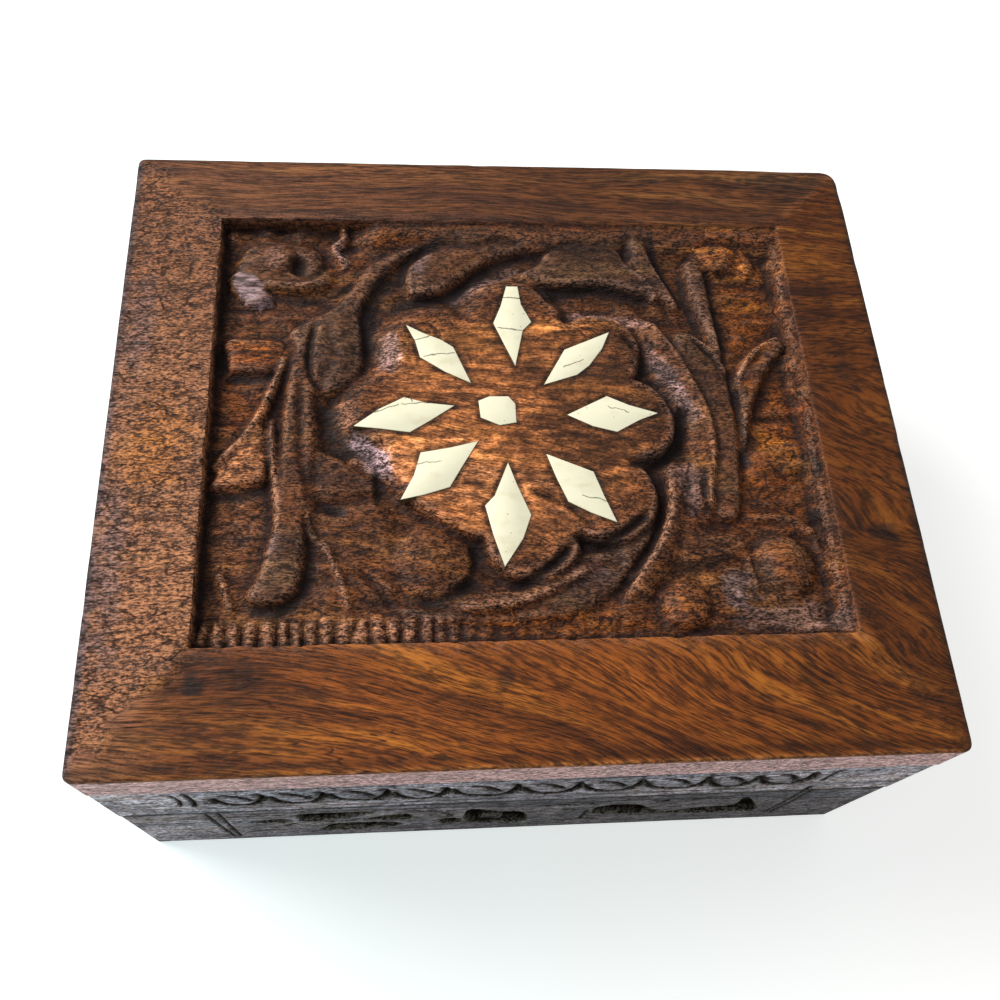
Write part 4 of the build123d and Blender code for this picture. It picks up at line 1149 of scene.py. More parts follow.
# The front wall's sunk patches of ground, and the knife lines between them
WALL_PATCHES = (
    ((-29.2, 19.8), (-20.6, 20.0), (-19.4, 18.4), (-23.0, 15.4), (-28.6, 13.8), (-29.8, 16.8)),
    ((-36.6, 15.0), (-32.0, 16.4), (-30.8, 13.6), (-33.6, 13.4)),
    ((-20.4, 14.4), (-14.9, 16.6), (-14.3, 12.4), (-19.8, 13.2)),
    ((-25.4, 10.2), (-22.8, 11.0), (-16.4, 9.8), (-16.4, 6.0), (-26.4, 5.4)),
    ((-10.0, 10.4), (-8.4, 11.6), (-6.8, 10.4), (-7.6, 6.6), (-9.4, 7.2)),
    ((-5.6, 18.6), (-2.0, 15.8), (1.6, 14.6), (2.9, 6.2), (-2.0, 5.8), (-5.8, 8.4), (-6.4, 13.0)),
    ((13.2, 17.0), (17.8, 17.0), (21.0, 12.4), (23.6, 9.2), (19.8, 8.6), (14.0, 10.4), (12.2, 12.8)),
    ((24.2, 10.2), (28.8, 12.4), (33.2, 13.4), (33.4, 19.4), (38.0, 7.8), (32.0, 7.3), (24.0, 8.6)))
WALL_LINES = (
    ((-41.4, 24.0), (-40.9, 12.0), (-40.2, 1.0)), ((-39.7, 24.0), (-39.6, 12.0), (-39.4, 2.0)),
    ((40.4, 28.0), (40.6, 16.0), (40.5, 4.0)), ((41.6, 27.0), (41.7, 14.0), (41.5, 4.0)),
    ((-39.0, 19.9), (-35.0, 19.6), (-31.0, 19.9)), ((25.0, 20.0), (31.0, 19.4), (38.0, 19.2)),
    ((-33.0, 10.0), (-30.0, 12.4), (-27.0, 14.0)), ((-32.0, 12.5), (-24.0, 13.0), (-21.0, 14.5)),
    ((7.0, 15.5), (10.0, 14.2), (11.5, 13.8)), ((11.5, 14.5), (11.4, 10.0), (11.6, 6.6), (14.0, 6.3)),
    ((7.0, 7.0), (9.0, 6.0), (13.0, 6.6)), ((19.2, 20.2), (22.2, 19.6), (20.4, 18.0)),
    ((10.8, 20.4), (11.4, 18.8), (12.4, 17.6)), ((-14.0, 19.4), (-10.0, 17.0), (-8.0, 13.0)),
    ((3.6, 18.6), (6.4, 19.6), (9.4, 18.4)), ((-38.0, 6.0), (-34.0, 7.6), (-29.0, 7.0)))


def carve_rail(c, half):
    """A row of gouged tongues, each with a hollow and a hooked nick, between upright lines."""
    low = c.y.min()
    deep = settings().border.tongue_depth / MM
    share = half / RAIL_HALF
    for number, (start, end) in enumerate(zip(RAIL_TONGUES, RAIL_TONGUES[1:])):
        a = start * share
        b = end * share
        w = b - a
        drop = 0.35 * math.sin(3.7 * number)
        c.cut([(a + 0.3, 35.0 + drop), (a + 0.12 * w, 31.4), (a + 0.42 * w, 29.2 + drop),
               (a + 0.78 * w, 29.4), (b - 0.5, 31.2), (b, 34.2), (b - 0.6, 37.0 + drop)],
              deep, 1.2, 0.35, 0.05)
        c.cut([(a + 0.2 * w, 36.4), (a + 0.5 * w, 34.8 + drop), (a + 0.72 * w, 32.0), (a + 0.78 * w, 30.4)],
              deep * 0.9, 0.9, 0.5, 0.25)
        c.pit((b - 0.1, 32.6), (0.7, 1.9), deep * 1.3, -8)
    left = RAIL_TONGUES[0] * share - 2.2
    right = RAIL_TONGUES[-1] * share + 2.0
    c.cut([(left, 29.0), (left + 0.4, 33.0), (left, 38.2)], deep, 0.4, 0.5, 0.05)
    c.cut([(left - 1.6, 29.4), (left - 1.2, 33.4), (left - 1.7, 38.0)], deep * 0.8, 0.4, 0.4, 0.1)
    c.cut([(right, 30.6), (right + 0.2, 38.2)], deep, 0.4, 0.4, 0.05)
    c.cut([(right, low + 0.2), (right + 0.1, 27.6)], deep * 0.8, 0.4, 0.4, 0.05)
    c.cut([(left, 38.6), (0, 39.0), (right, 38.6)], 0.12, 0.3, 0.6, 0.05)
    # Painted shade along the parting at the rail's foot, and a faint dark line below the tongues
    c.shade([(-half, low), (half, low)], 1.0, 0.9, 0.9, 0.01)
    c.shade([(left, 27.4), (-12, 27.0), (4, 27.6), (right, 27.2)], 0.3, 0.5, 0.5, 0.1)


def carve_wall(c, half):
    """Slanting leaves that stand between sunk patches of ground, and the knife lines round them."""
    low, high = c.y.min(), c.y.max()
    deep = settings().border.ground_depth / MM
    share = 1.0 if half > FRONT_MIN_HALF else SIDE_SHARE
    for patch in WALL_PATCHES:
        c.pocket([(u * share, z) for u, z in patch], deep, 0.35)
    bud = ((-4.2, 6.2), (-0.8, 6.4), (-0.6, 9.2), (-3.4, 9.6))
    c.pocket([(u * share, z) for u, z in bud], -1.0, 0.4)
    for line in WALL_LINES:
        c.cut([(u * share, z) for u, z in line], 0.4, 0.35, 0.45, 0.08)
    # Painted shade along the parting at the top and along the foot where the wall meets the table, and a
    # faint dark line across the middle
    c.shade([(-half, high), (half, high)], 1.0, 1.1, 1.1, 0.01)
    c.shade([(-half, low), (half, low)], 0.7, 1.2, 1.2, 0.01)
    c.shade([(-38.0 * share, 21.6), (-20.0 * share, 21.2), (0, 20.8), (37.0 * share, 21.0)],
            0.4, 0.6, 0.6, 0.05)


# A side's quarter turns from the front, half its length, how far out its face lies, and its back end
Side = namedtuple("Side", "turns half reach back_end")


def side_profile(low, high, thickness, rebate, step, arris):
    """Depths and levels round a rail's section, starting with its outer face from the bottom up."""
    rows = np.linspace(low, high, int((high - low) / step) + 1)
    foot = np.clip(arris[0] - (rows - low), 0, None)
    head = np.clip(arris[1] - (high - rows), 0, None)
    depths = foot ** 2 / max(arris[0], 0.1) + head ** 2 / max(arris[1], 0.1)
    inner = [(1.5, high), (thickness * 0.5, high), (thickness, high), (thickness, (low + high) / 2)]
    if rebate:
        inner += [(thickness, rebate), (thickness - rebate, rebate), (thickness - rebate, low)]
    else:
        inner += [(thickness, low), (thickness * 0.5, low)]
    inner += [(1.5, low)]
    depth = np.concatenate([depths, [d for d, _ in inner]])
    level = np.concatenate([rows, [z for _, z in inner]])
    return depth, level, len(rows)


def build_side(name, side, low, high, thickness, rebate, carve, arris, tone, fade_right):
    """One side of the lid or base, carved on its outer face; tone sets its brightness, and fade_right
    darkens it towards the right as painted shade.
    """
    border = settings().border
    step = border.grid_step / MM
    radius = border.corner_radius / MM
    half = side.half
    depth, level, rows = side_profile(low, high, thickness, rebate, step, arris)
    straight = np.linspace(-(half - radius), half - radius, int(2 * (half - radius) / step))
    turned = half - radius + radius * np.sin(END_ANGLES)
    stations = np.concatenate([-turned[::-1], straight, turned])
    arc = radius * (1 - np.cos(END_ANGLES))
    arc_depth = np.concatenate([arc[::-1], np.zeros(len(straight)), arc])
    mesh, column, row = grid_mesh(name, len(stations), len(depth) + 1)
    row = row % len(depth)
    outer = row < rows
    u = stations[column]
    z = level[row]
    end = arc[-1]
    c = Carving(u, z)
    carve(c, half)
    fade = ramp(half - radius, half - radius - 1.0, np.abs(u))
    face = 0.012 * noise(u, z, 7, 2.5, 61) + 0.012 * noise(u, z, 2.2, 0.6, 62) - 0.024
    carved = np.clip((c.z + face) * fade, -2.2, 0)
    inward = np.where(outer, depth[row] + np.maximum(arc_depth[column], 0) - carved, depth[row])
    across = np.where(outer, u, u / (half - end) * (half - np.maximum(depth[row], end)))
    across = np.sign(across) * np.minimum(np.abs(across), half - np.maximum(inward, end * (~outer)))
    if side.back_end:
        past = np.clip(across * side.back_end - HINGE_Y, 0, None) * BEVEL_RISE
        rest = high - low - past
        if (low + high) / 2 > HINGE_Z:
            z = high - (high - z) * rest / (high - low)
        else:
            z = low + (z - low) * rest / (high - low)
    points = np.stack([across, -side.reach + inward, z], axis=1)
    grid = np.zeros((rows, len(stations)))
    grid[row[outer], column[outer]] = carved[outer]
    hollow, worn = hollows_and_edges(grid)
    values = {key: np.zeros(len(u)) for key in WEAR}
    values["hollow"][outer] = hollow[row[outer], column[outer]]
    values["worn"][outer] = worn[row[outer], column[outer]]
    cloud = 0.5 * noise(u, z, 6.0, 4.0, 63) + 0.5 * noise(u, z, 1.6, 4.0, 64)
    cloud += 0.7 * noise(u, z, 9.0, 0.7, 65)
    ends = 0.45 * ramp(38, 48, np.abs(u))
    shadow = tone + cloud + ends + 4.5 * np.maximum(c.lift, -2.0) - 7.0 * ramp(-0.15, -0.5, carved)
    # fade_right darkens the face towards the right as painted shade
    values["lift"][outer] = (shadow + fade_right * ramp(-45, 30, u))[outer]
    # The front is greyed towards its pale colour, a painted reflection of the pale table; the sides stay
    # brown
    values["warm"][outer] = -0.1 if side.turns else -1.0
    values["bleach"][outer] = 0.1 if side.turns else 0.5
    values["fuzz"][outer] = 0.5
    write_points(mesh, points)
    write_values(mesh, values)
    bm = bmesh.new()
    bm.from_mesh(mesh)
    bmesh.ops.remove_doubles(bm, verts=bm.verts, dist=1e-7)
    for way in (-1, 1):
        rim = [e for e in bm.edges if e.is_boundary and e.verts[0].co.x * way > 0]
        bmesh.ops.contextual_create(bm, geom=rim)
    bmesh.ops.rotate(
        bm, verts=bm.verts, cent=(0, 0, 0), matrix=Matrix.Rotation(side.turns * QUARTER_TURN, 3, "Z"))
    bmesh.ops.recalc_face_normals(bm, faces=bm.faces)
    bm.to_mesh(mesh)
    bm.free()
    smooth_with_creases(mesh, 50)
    return mesh


def dress_sides(body, kind, slot, rebate, carve, arris, tones, fades):
    """Builds the front, left and right pieces of a body; tones and fades (painted shade towards the right)
    are for front and sides.
    """
    low, high = box_mm(f"{body}_front_{kind}")
    half_x = high[0]
    half_y = box_mm(f"{body}_left_{kind}")[1][1]
    thickness = high[1] - low[1]
    face_pale_and_sheen = settings().wood.face_pale_and_sheen
    sides = {
        "front": Side(0, half_x, half_y, 0), "left": Side(-1, half_y, half_x, -1),
        "right": Side(1, half_y, half_x, 1)}
    for place, side in sides.items():
        across = abs(side.turns)
        node = f"{body}_{place}_{kind}"
        mesh = build_side(
            node + "_carved", side, low[2], high[2], thickness, rebate, carve, arris, tones[across],
            fades[across])
        run = "across" if across else "along"
        mesh.materials.append(carved_wood(
            f"{kind}_rosewood_{run}", across=across, sheen=0.05, rough_by=2.5, Pale=face_pale_and_sheen))
        add_piece(node + "_carved", mesh, body, slot, node)


class TRINKET_OT_lid_rails(bpy.types.Operator):
    """Model the carved front, left and right rails of the lid"""

    bl_idname = "trinket.lid_rails"
    bl_label = "Carved lid rails"

    def execute(self, context):
        dress_sides("lid", "rail", "rail_wood", 0, carve_rail, (0.15, 0.12), (0.9, 0.0), (0.0, 0.0))
        return {"FINISHED"}


class TRINKET_OT_base_walls(bpy.types.Operator):
    """Model the carved front, left and right walls of the base"""

    bl_idname = "trinket.base_walls"
    bl_label = "Carved base walls"

    def execute(self, context):
        dress_sides(
            "base", "wall", "wall_wood", FLOOR_TOP, carve_wall, (0.35, 0.15), (0.3, -0.3), (-1.0, 0.0))
        return {"FINISHED"}


# Helpers that make node trees

def add_node(tree, kind, inputs=None, **values):
    """A new node, with its inputs set to a number or colour or linked from another node's output."""
    node = tree.nodes.new(kind)
    for name, value in values.items():
        setattr(node, name, value)
    for name, value in (inputs or {}).items():
        if isinstance(value, bpy.types.NodeSocket):
            tree.links.new(value, node.inputs[name])
        else:
            node.inputs[name].default_value = value
    return node


def maths(tree, operation, first, second=0.0, clamp=False):
    """The result of a Math node."""
    inputs = {0: first, 1: second}
    return add_node(tree, "ShaderNodeMath", inputs, operation=operation, use_clamp=clamp).outputs[0]


def times(tree, first, second, clamp=False):
    """One value times another."""
    return maths(tree, "MULTIPLY", first, second, clamp)


def plus(tree, first, second, clamp=False):
    """The sum of two values."""
    return maths(tree, "ADD", first, second, clamp)


def minus(tree, first, second):
    """One value less another."""
    return maths(tree, "SUBTRACT", first, second)


def millimetres(tree, vector):
    """Coordinates brought from metres to millimetres."""
    return add_node(tree, "ShaderNodeVectorMath", {0: vector, "Scale": 1 / MM}, operation="SCALE").outputs[0]


def split(tree, vector):
    """A vector's x, y and z."""
    return add_node(tree, "ShaderNodeSeparateXYZ", {0: vector}).outputs


def fitted(tree, value, low, high, new_low=0.0, new_high=1.0):
    """A value brought smoothly from one range to another."""
    inputs = {"Value": value, "From Min": low, "From Max": high, "To Min": new_low, "To Max": new_high}
    node = add_node(tree, "ShaderNodeMapRange", inputs, interpolation_type="SMOOTHSTEP")
    return node.outputs["Result"]


def mixed(tree, share, first, second, blend="MIX"):
    """Two colours mixed by a share."""
    inputs = {0: share, 6: first, 7: second}
    return add_node(tree, "ShaderNodeMix", inputs, data_type="RGBA", blend_type=blend).outputs[2]


def stretched(tree, vector, sizes):
    """Coordinates divided by the size of a pattern along, across and through the wood."""
    inputs = {0: vector, 1: tuple(1.0 / s for s in sizes)}
    return add_node(tree, "ShaderNodeVectorMath", inputs, operation="MULTIPLY").outputs[0]


def cloudy(tree, vector, sizes, detail=2.0, roughness=0.5):
    """Noise from 0 to 1 whose lumps have that size in millimetres."""
    inputs = {
        "Vector": stretched(tree, vector, sizes), "Scale": 1.0, "Detail": detail, "Roughness": roughness}
    return add_node(tree, "ShaderNodeTexNoise", inputs).outputs["Fac"]


def cells(tree, vector, sizes, feature):
    """Distance from the middle (F1) or from the edge (DISTANCE_TO_EDGE) of scattered cells."""
    inputs = {"Vector": stretched(tree, vector, sizes), "Scale": 1.0, "Randomness": 1.0}
    return add_node(tree, "ShaderNodeTexVoronoi", inputs, feature=feature).outputs["Distance"]


def dashes(tree, vector, sizes, low, high):
    """A mask of scattered dashes: 1 in a dash and 0 between."""
    return fitted(tree, cells(tree, vector, sizes, "F1"), high, low)


def new_group(name, inputs, outputs):
    """An empty shader group with named sockets."""
    tree = bpy.data.node_groups.new(name, "ShaderNodeTree")
    for label, kind, default in inputs:
        socket = tree.interface.new_socket(label, in_out="INPUT", socket_type=kind)
        if default is not None:
            socket.default_value = default
    for label, kind in outputs:
        tree.interface.new_socket(label, in_out="OUTPUT", socket_type=kind)
    source = tree.nodes.new("NodeGroupInput")
    target = tree.nodes.new("NodeGroupOutput")
    return tree, source.outputs, target.inputs


COLOUR = "NodeSocketColor"
VALUE = "NodeSocketFloat"
VECTOR = "NodeSocketVector"


def rosewood_grain():
    """Group: streaks, fibres and pores of rosewood along x, drifting towards the front right."""
    name = "Rosewood grain"
    if name in bpy.data.node_groups:
        return bpy.data.node_groups[name]
    tree, given, result = new_group(
        name, [("Vector", VECTOR, None), ("Drift", VALUE, 0.0)],
        [("Streak", VALUE), ("Fibre", VALUE), ("Line", VALUE), ("Crack", VALUE), ("Pore", VALUE),
         ("Speckle", VALUE), ("Lump", VALUE)])
    place = millimetres(tree, given["Vector"])
    parts = split(tree, place)
    warp = cloudy(tree, place, (40, 14, 14), 1.0)
    front = fitted(tree, parts[1], 26.0, -40.0, 0.02, 0.42)
    right = fitted(tree, parts[0], -46.0, 30.0, 0.3, 1.0)
    slope = times(tree, times(tree, front, right), given["Drift"])
    run = times(tree, plus(tree, parts[0], 20.0), slope)
    across = plus(tree, parts[1], run)
    across = plus(tree, across, times(tree, minus(tree, warp, 0.5), 9.0))
    along = minus(tree, parts[0], times(tree, parts[1], slope))
    grain = add_node(tree, "ShaderNodeCombineXYZ", {0: along, 1: across, 2: parts[2]}).outputs[0]
    broad = cloudy(tree, grain, (60, 4.5, 6.0), 2.0)
    narrow = cloudy(tree, grain, (26, 1.3, 2.0), 2.0, 0.6)
    streak = plus(tree, times(tree, broad, 0.9), times(tree, narrow, 0.8))
    tree.links.new(fitted(tree, streak, 0.42, 1.26), result["Streak"])
    thread = cloudy(tree, grain, (2.6, 0.20, 0.26), 1.0, 0.6)
    strand = cloudy(tree, grain, (8.0, 0.46, 0.60), 2.0, 0.6)
    fibre = plus(tree, times(tree, thread, 0.55), times(tree, strand, 0.45))
    tree.links.new(fitted(tree, fibre, 0.36, 0.64), result["Fibre"])
    # Thin dark lines where a stretched noise crosses its middle, broken up
    crossing = maths(tree, "ABSOLUTE", minus(tree, cloudy(tree, grain, (13.0, 1.25, 1.6), 2.0), 0.5))
    broken = fitted(tree, cloudy(tree, grain, (5.0, 1.6, 2.0), 1.0), 0.42, 0.58)
    line = times(tree, fitted(tree, crossing, 0.030, 0.006), broken)
    tree.links.new(line, result["Line"])
    # Short cracks between torn flakes
    bent = times(tree, minus(tree, cloudy(tree, grain, (2.6, 1.4, 1.6), 1.0), 0.5), 1.6)
    flakes = add_node(tree, "ShaderNodeCombineXYZ", {
        0: along, 1: plus(tree, across, bent), 2: parts[2]}).outputs[0]
    seam = cells(tree, flakes, (3.4, 1.25, 1.5), "DISTANCE_TO_EDGE")
    patchy = fitted(tree, cloudy(tree, place, (2.0, 1.3, 1.5), 1.0), 0.46, 0.56)
    tree.links.new(times(tree, fitted(tree, seam, 0.085, 0.02), patchy), result["Crack"])
    crowd = fitted(tree, cloudy(tree, grain, (22, 3.2, 4.0), 1.0), 0.35, 0.65, 0.25, 1.0)
    pore = dashes(tree, grain, (4.4, 0.55, 0.6), 0.09, 0.19)
    tree.links.new(times(tree, pore, crowd), result["Pore"])
    grit = cloudy(tree, place, (0.52, 0.23, 0.36), 2.0, 0.65)
    lump = cloudy(tree, place, (1.5, 0.62, 0.8), 2.0, 0.6)
    speckle = plus(tree, times(tree, grit, 0.66), times(tree, lump, 0.34))
    tree.links.new(fitted(tree, speckle, 0.31, 0.69), result["Speckle"])
    tree.links.new(fitted(tree, lump, 0.35, 0.65), result["Lump"])
    return tree


def worn_wood():
    """Group: the wood's colour, roughness and height from its grain, its cuts and its wear, with painted
    shade in its hollows and painted highlights on its ridges and lit slopes.
    """
    name = "Worn carved wood"
    if name in bpy.data.node_groups:
        return bpy.data.node_groups[name]
    colours = settings().wood
    tree, given, result = new_group(
        name,
        [("Vector", VECTOR, None), ("Drift", VALUE, 0.0), ("Pores", VALUE, 1.0),
         ("Light", COLOUR, colours.light), ("Middle", COLOUR, colours.middle),
         ("Dark", COLOUR, colours.dark), ("Pore Color", COLOUR, colours.pore),
         ("Pale", COLOUR, colours.pale), ("Grime", COLOUR, colours.dirt_and_shade),
         ("Hollow", VALUE, 0.0), ("Worn", VALUE, 0.0), ("Warm", VALUE, 0.0), ("Lift", VALUE, 0.0),
         ("Bleach", VALUE, 0.0), ("Fuzz", VALUE, 0.0)],
        [("Color", COLOUR), ("Roughness", VALUE), ("Height", VALUE)])
    grain = add_node(tree, "ShaderNodeGroup", node_tree=rosewood_grain())
    tree.links.new(given["Vector"], grain.inputs["Vector"])
    tree.links.new(given["Drift"], grain.inputs["Drift"])
    streak, fibre, line, crack, pore, speckle, lump = (
        grain.outputs[n] for n in ("Streak", "Fibre", "Line", "Crack", "Pore", "Speckle", "Lump"))
    colour = mixed(tree, fitted(tree, streak, 0.0, 0.55), given["Dark"], given["Middle"])
    colour = mixed(tree, fitted(tree, streak, 0.5, 1.0), colour, given["Light"])
    torn = fitted(tree, speckle, 0.0, 1.0, 0.45, 1.5)
    # Pale dry fibres, and painted sheen where slopes and faces catch the light
    colour = mixed(tree, times(tree, given["Bleach"], torn, True), colour, given["Pale"])
    warm = fitted(tree, given["Warm"], -1.0, 1.0)
    tint = mixed(tree, warm, (0.80, 1.0, 1.65, 1), (1.14, 0.86, 0.36, 1))
    colour = mixed(tree, 1.0, colour, tint, "MULTIPLY")
    # Fine light and dark: threads along the grain, or the grit of torn fibres
    threads = fitted(tree, fibre, 0.0, 1.0, 0.36, 1.62)
    grit = fitted(tree, speckle, 0.0, 1.0, 0.12, 2.05)
    gritty = fitted(tree, given["Fuzz"], 0.15, 0.75)
    inputs = {0: gritty, 2: threads, 3: grit}
    texture = add_node(tree, "ShaderNodeMix", inputs, data_type="FLOAT").outputs[0]
    bright = times(tree, maths(tree, "POWER", 2.0, given["Lift"]), texture)
    grey = add_node(tree, "ShaderNodeCombineColor", {0: bright, 1: bright, 2: bright}).outputs[0]
    colour = mixed(tree, 1.0, colour, grey, "MULTIPLY")
    pores = maths(tree, "MAXIMUM", pore, times(tree, line, 0.8))
    torn_open = times(tree, crack, fitted(tree, given["Fuzz"], 0.2, 0.6))
    pores = times(tree, maths(tree, "MAXIMUM", pores, torn_open), given["Pores"], True)
    colour = mixed(tree, times(tree, pores, 0.8), colour, given["Pore Color"])
    # Grime and painted shade in the hollows
    grime_and_shade_share = times(tree, given["Hollow"], fitted(tree, speckle, 0.0, 1.0, 1.0, 0.7))
    colour = mixed(tree, times(tree, grime_and_shade_share, 0.85, True), colour, given["Grime"])
    # Pale on the ridges: rubbed wear with a painted highlight
    rubbed_and_lit = times(tree, given["Worn"], fitted(tree, speckle, 0.2, 0.8))
    colour = mixed(tree, times(tree, rubbed_and_lit, 0.7, True), colour, given["Pale"])
    tree.links.new(colour, result["Color"])
    rough = fitted(tree, fibre, 0.0, 1.0, 0.60, 0.48)
    rough = plus(tree, rough, times(tree, pores, 0.25), True)
    tree.links.new(plus(tree, rough, times(tree, given["Hollow"], 0.2), True), result["Roughness"])
    height = times(tree, fibre, 0.022)
    height = minus(tree, height, times(tree, pores, 0.06))
    coarse = times(tree, plus(tree, speckle, lump), given["Fuzz"])
    tree.links.new(plus(tree, height, times(tree, coarse, 0.075)), result["Height"])
    return tree


def new_material(name):
    """A material with a Principled shader, and its node tree."""
    material = bpy.data.materials.new(name)
    material.use_nodes = True
    tree = material.node_tree
    return material, tree, tree.nodes["Principled BSDF"]


def finish_with(tree, shader, colour, roughness, height, distance):
    """Links colour, roughness and a bump height in millimetres to the shader."""
    tree.links.new(colour, shader.inputs["Base Color"])
    tree.links.new(roughness, shader.inputs["Roughness"])
    bump = add_node(tree, "ShaderNodeBump", {"Height": height, "Distance": distance, "Strength": 1.0})
    tree.links.new(bump.outputs["Normal"], shader.inputs["Normal"])


def object_place(tree, turn=0.0, shift=(0, 0, 0)):
    """Object coordinates, turned about z and moved so that each piece has its own stretch of wood."""
    place = add_node(tree, "ShaderNodeTexCoord").outputs["Object"]
    inputs = {"Vector": place, "Rotation": (0, 0, turn), "Location": shift}
    return add_node(tree, "ShaderNodeMapping", inputs).outputs["Vector"]


def carved_wood(name, drift=0.0, across=0, carved=True, sheen=0.25, rough_by=1.0, **values):
    """Rosewood whose wear, grime, painted shade and painted highlights come from the mesh's own values where
    it is carved.
    """
    if name in bpy.data.materials:
        return bpy.data.materials[name]
    material, tree, shader = new_material(name)
    wood = add_node(tree, "ShaderNodeGroup", node_tree=worn_wood())
    shift = (0, 0, 0) if drift else (0.013 * len(name), 0.007 * len(name), 0.003)
    turn = QUARTER_TURN if across else 0.0
    tree.links.new(object_place(tree, turn, shift), wood.inputs["Vector"])
    wood.inputs["Drift"].default_value = drift
    if carved:
        for label in WEAR:
            value = add_node(tree, "ShaderNodeAttribute", attribute_name=label)
            tree.links.new(value.outputs["Fac"], wood.inputs[label.capitalize()])
    for label, value in values.items():
        wood.inputs[label].default_value = value
    shader.inputs["Specular IOR Level"].default_value = sheen
    finish_with(tree, shader, *(wood.outputs[n] for n in ("Color", "Roughness", "Height")), rough_by * MM)
    return material


# The bone's hairline cracks: start, end and width
BONE_CRACKS = (
    ((-2.6, 20.2), (3.0, 19.9), 0.13), ((-1.7, 15.0), (2.0, 14.6), 0.14),
    ((-13.2, 12.9), (-9.6, 13.9), 0.12), ((-11.9, 10.4), (-7.4, 11.0), 0.10),
    ((-21.2, 0.5), (-15.0, 2.9), 0.10), ((-15.0, 2.9), (-7.6, 3.3), 0.09),
    ((-14.6, 4.9), (-13.2, 3.1), 0.08), ((7.0, 8.6), (10.2, 9.9), 0.09), ((8.0, -10.6), (12.4, -11.9), 0.10),
    ((12.6, 2.6), (15.6, 1.4), 0.07), ((-13.6, -6.0), (-9.6, -5.6), 0.06))


def crack_line(tree, place, bend, start, end, width):
    """A mask of one hairline crack between two points, wandering with the bend."""
    length = math.dist(start, end)
    ex = (end[0] - start[0]) / length
    ey = (end[1] - start[1]) / length
    dot = "DOT_PRODUCT"
    run = add_node(tree, "ShaderNodeVectorMath", {0: place, 1: (ex, ey, 0)}, operation=dot).outputs["Value"]
    off = add_node(tree, "ShaderNodeVectorMath", {0: place, 1: (-ey, ex, 0)}, operation=dot).outputs["Value"]
    first = start[0] * ex + start[1] * ey
    level = start[1] * ex - start[0] * ey + 0.45
    gap = maths(tree, "ABSOLUTE", minus(tree, plus(tree, off, bend), level))
    inside = maths(tree, "ABSOLUTE", minus(tree, run, first + length / 2))
    along = fitted(tree, inside, length / 2, length / 2 - 0.3)
    return times(tree, along, fitted(tree, gap, width, width * 0.35))


def bone_material():
    """Polished bone: cream, a little yellowed, with hairline cracks, pits and dark glue at its edges."""
    colours = settings().trim
    material, tree, shader = new_material("polished_bone")
    place = millimetres(tree, object_place(tree))
    clouds = cloudy(tree, place, (3.0, 2.0, 2.0), 3.0)
    colour = mixed(tree, fitted(tree, clouds, 0.45, 0.8, 0.0, 0.6), colours.bone, colours.bone_shade)
    bend = times(tree, cloudy(tree, place, (1.4, 1.4, 1.4), 2.0), 0.9)
    cracks = 0.0
    for start, end, width in BONE_CRACKS:
        cracks = maths(tree, "MAXIMUM", cracks, crack_line(tree, place, bend, start, end, width))
    pits = dashes(tree, place, (1.9, 1.4, 1.4), 0.04, 0.09)
    marks = maths(tree, "MAXIMUM", cracks, times(tree, pits, 0.6))
    colour = mixed(tree, times(tree, marks, 0.8), colour, colours.bone_crack)
    low = fitted(tree, split(tree, place)[2], INLAY_TOP - 0.015, INLAY_TOP - 0.08)
    colour = mixed(tree, low, colour, colours.bone_crack)
    rough = fitted(tree, clouds, 0.3, 0.7, 0.32, 0.45)
    height = minus(tree, times(tree, clouds, 0.03), times(tree, marks, 0.04))
    finish_with(tree, shader, colour, rough, height, MM)
    return material


def metal_material(name, clean, stained, scale):
    """Dull metal with tarnish in patches and fine scratches."""
    material, tree, shader = new_material(name)
    place = millimetres(tree, object_place(tree))
    patches = cloudy(tree, place, (scale, scale, scale), 4.0, 0.65)
    scratches = cloudy(tree, place, (4.0, 0.15, 0.15), 2.0)
    stain = fitted(tree, patches, 0.38, 0.68)
    colour = mixed(tree, stain, clean, stained)
    colour = mixed(tree, fitted(tree, scratches, 0.55, 0.7, 0.0, 0.35), colour, clean)
    shader.inputs["Metallic"].default_value = 1.0
    rough = fitted(tree, stain, 0.0, 1.0, 0.32, 0.6)
    height = plus(tree, times(tree, scratches, 0.012), times(tree, patches, 0.02))
    finish_with(tree, shader, colour, rough, height, MM)
    return material


# Pieces whose CAD shape stays

def give_material(material, *nodes):
    """Puts a material on CAD nodes."""
    for node in nodes:
        for slot in frame["nodes"][node].material_slots:
            slot.material = material


class TRINKET_OT_fittings(bpy.types.Operator):
    """Finish the back pieces, the floor, the hinges, the nails and the brads"""

    bl_idname = "trinket.fittings"
    bl_label = "Back, floor and fittings"

    def execute(self, context):
        trim = settings().trim
        back = carved_wood("back_rosewood", carved=False, Fuzz=0.2, Lift=-0.1)
        give_material(back, "lid_back_rail", "base_back_wall")
        planed = carved_wood("planed_floor_wood", carved=False, Fuzz=0.3, Bleach=0.25, Lift=0.3, Pores=0.8)
        give_material(planed, "base_floor")
        brass = metal_material("dull_brass", trim.brass, trim.tarnish, 2.2)
        hinges = [n for n in frame["nodes"] if n.startswith("hinge_")]
        give_material(brass, *hinges, "lid_hinge_nails", "base_hinge_nails")
        steel = metal_material("dark_steel", trim.steel, trim.tarnish, 1.4)
        give_material(steel, "lid_brads", "floor_brads")
        return {"FINISHED"}


# The stage

FLOOR_HALF = 1.5


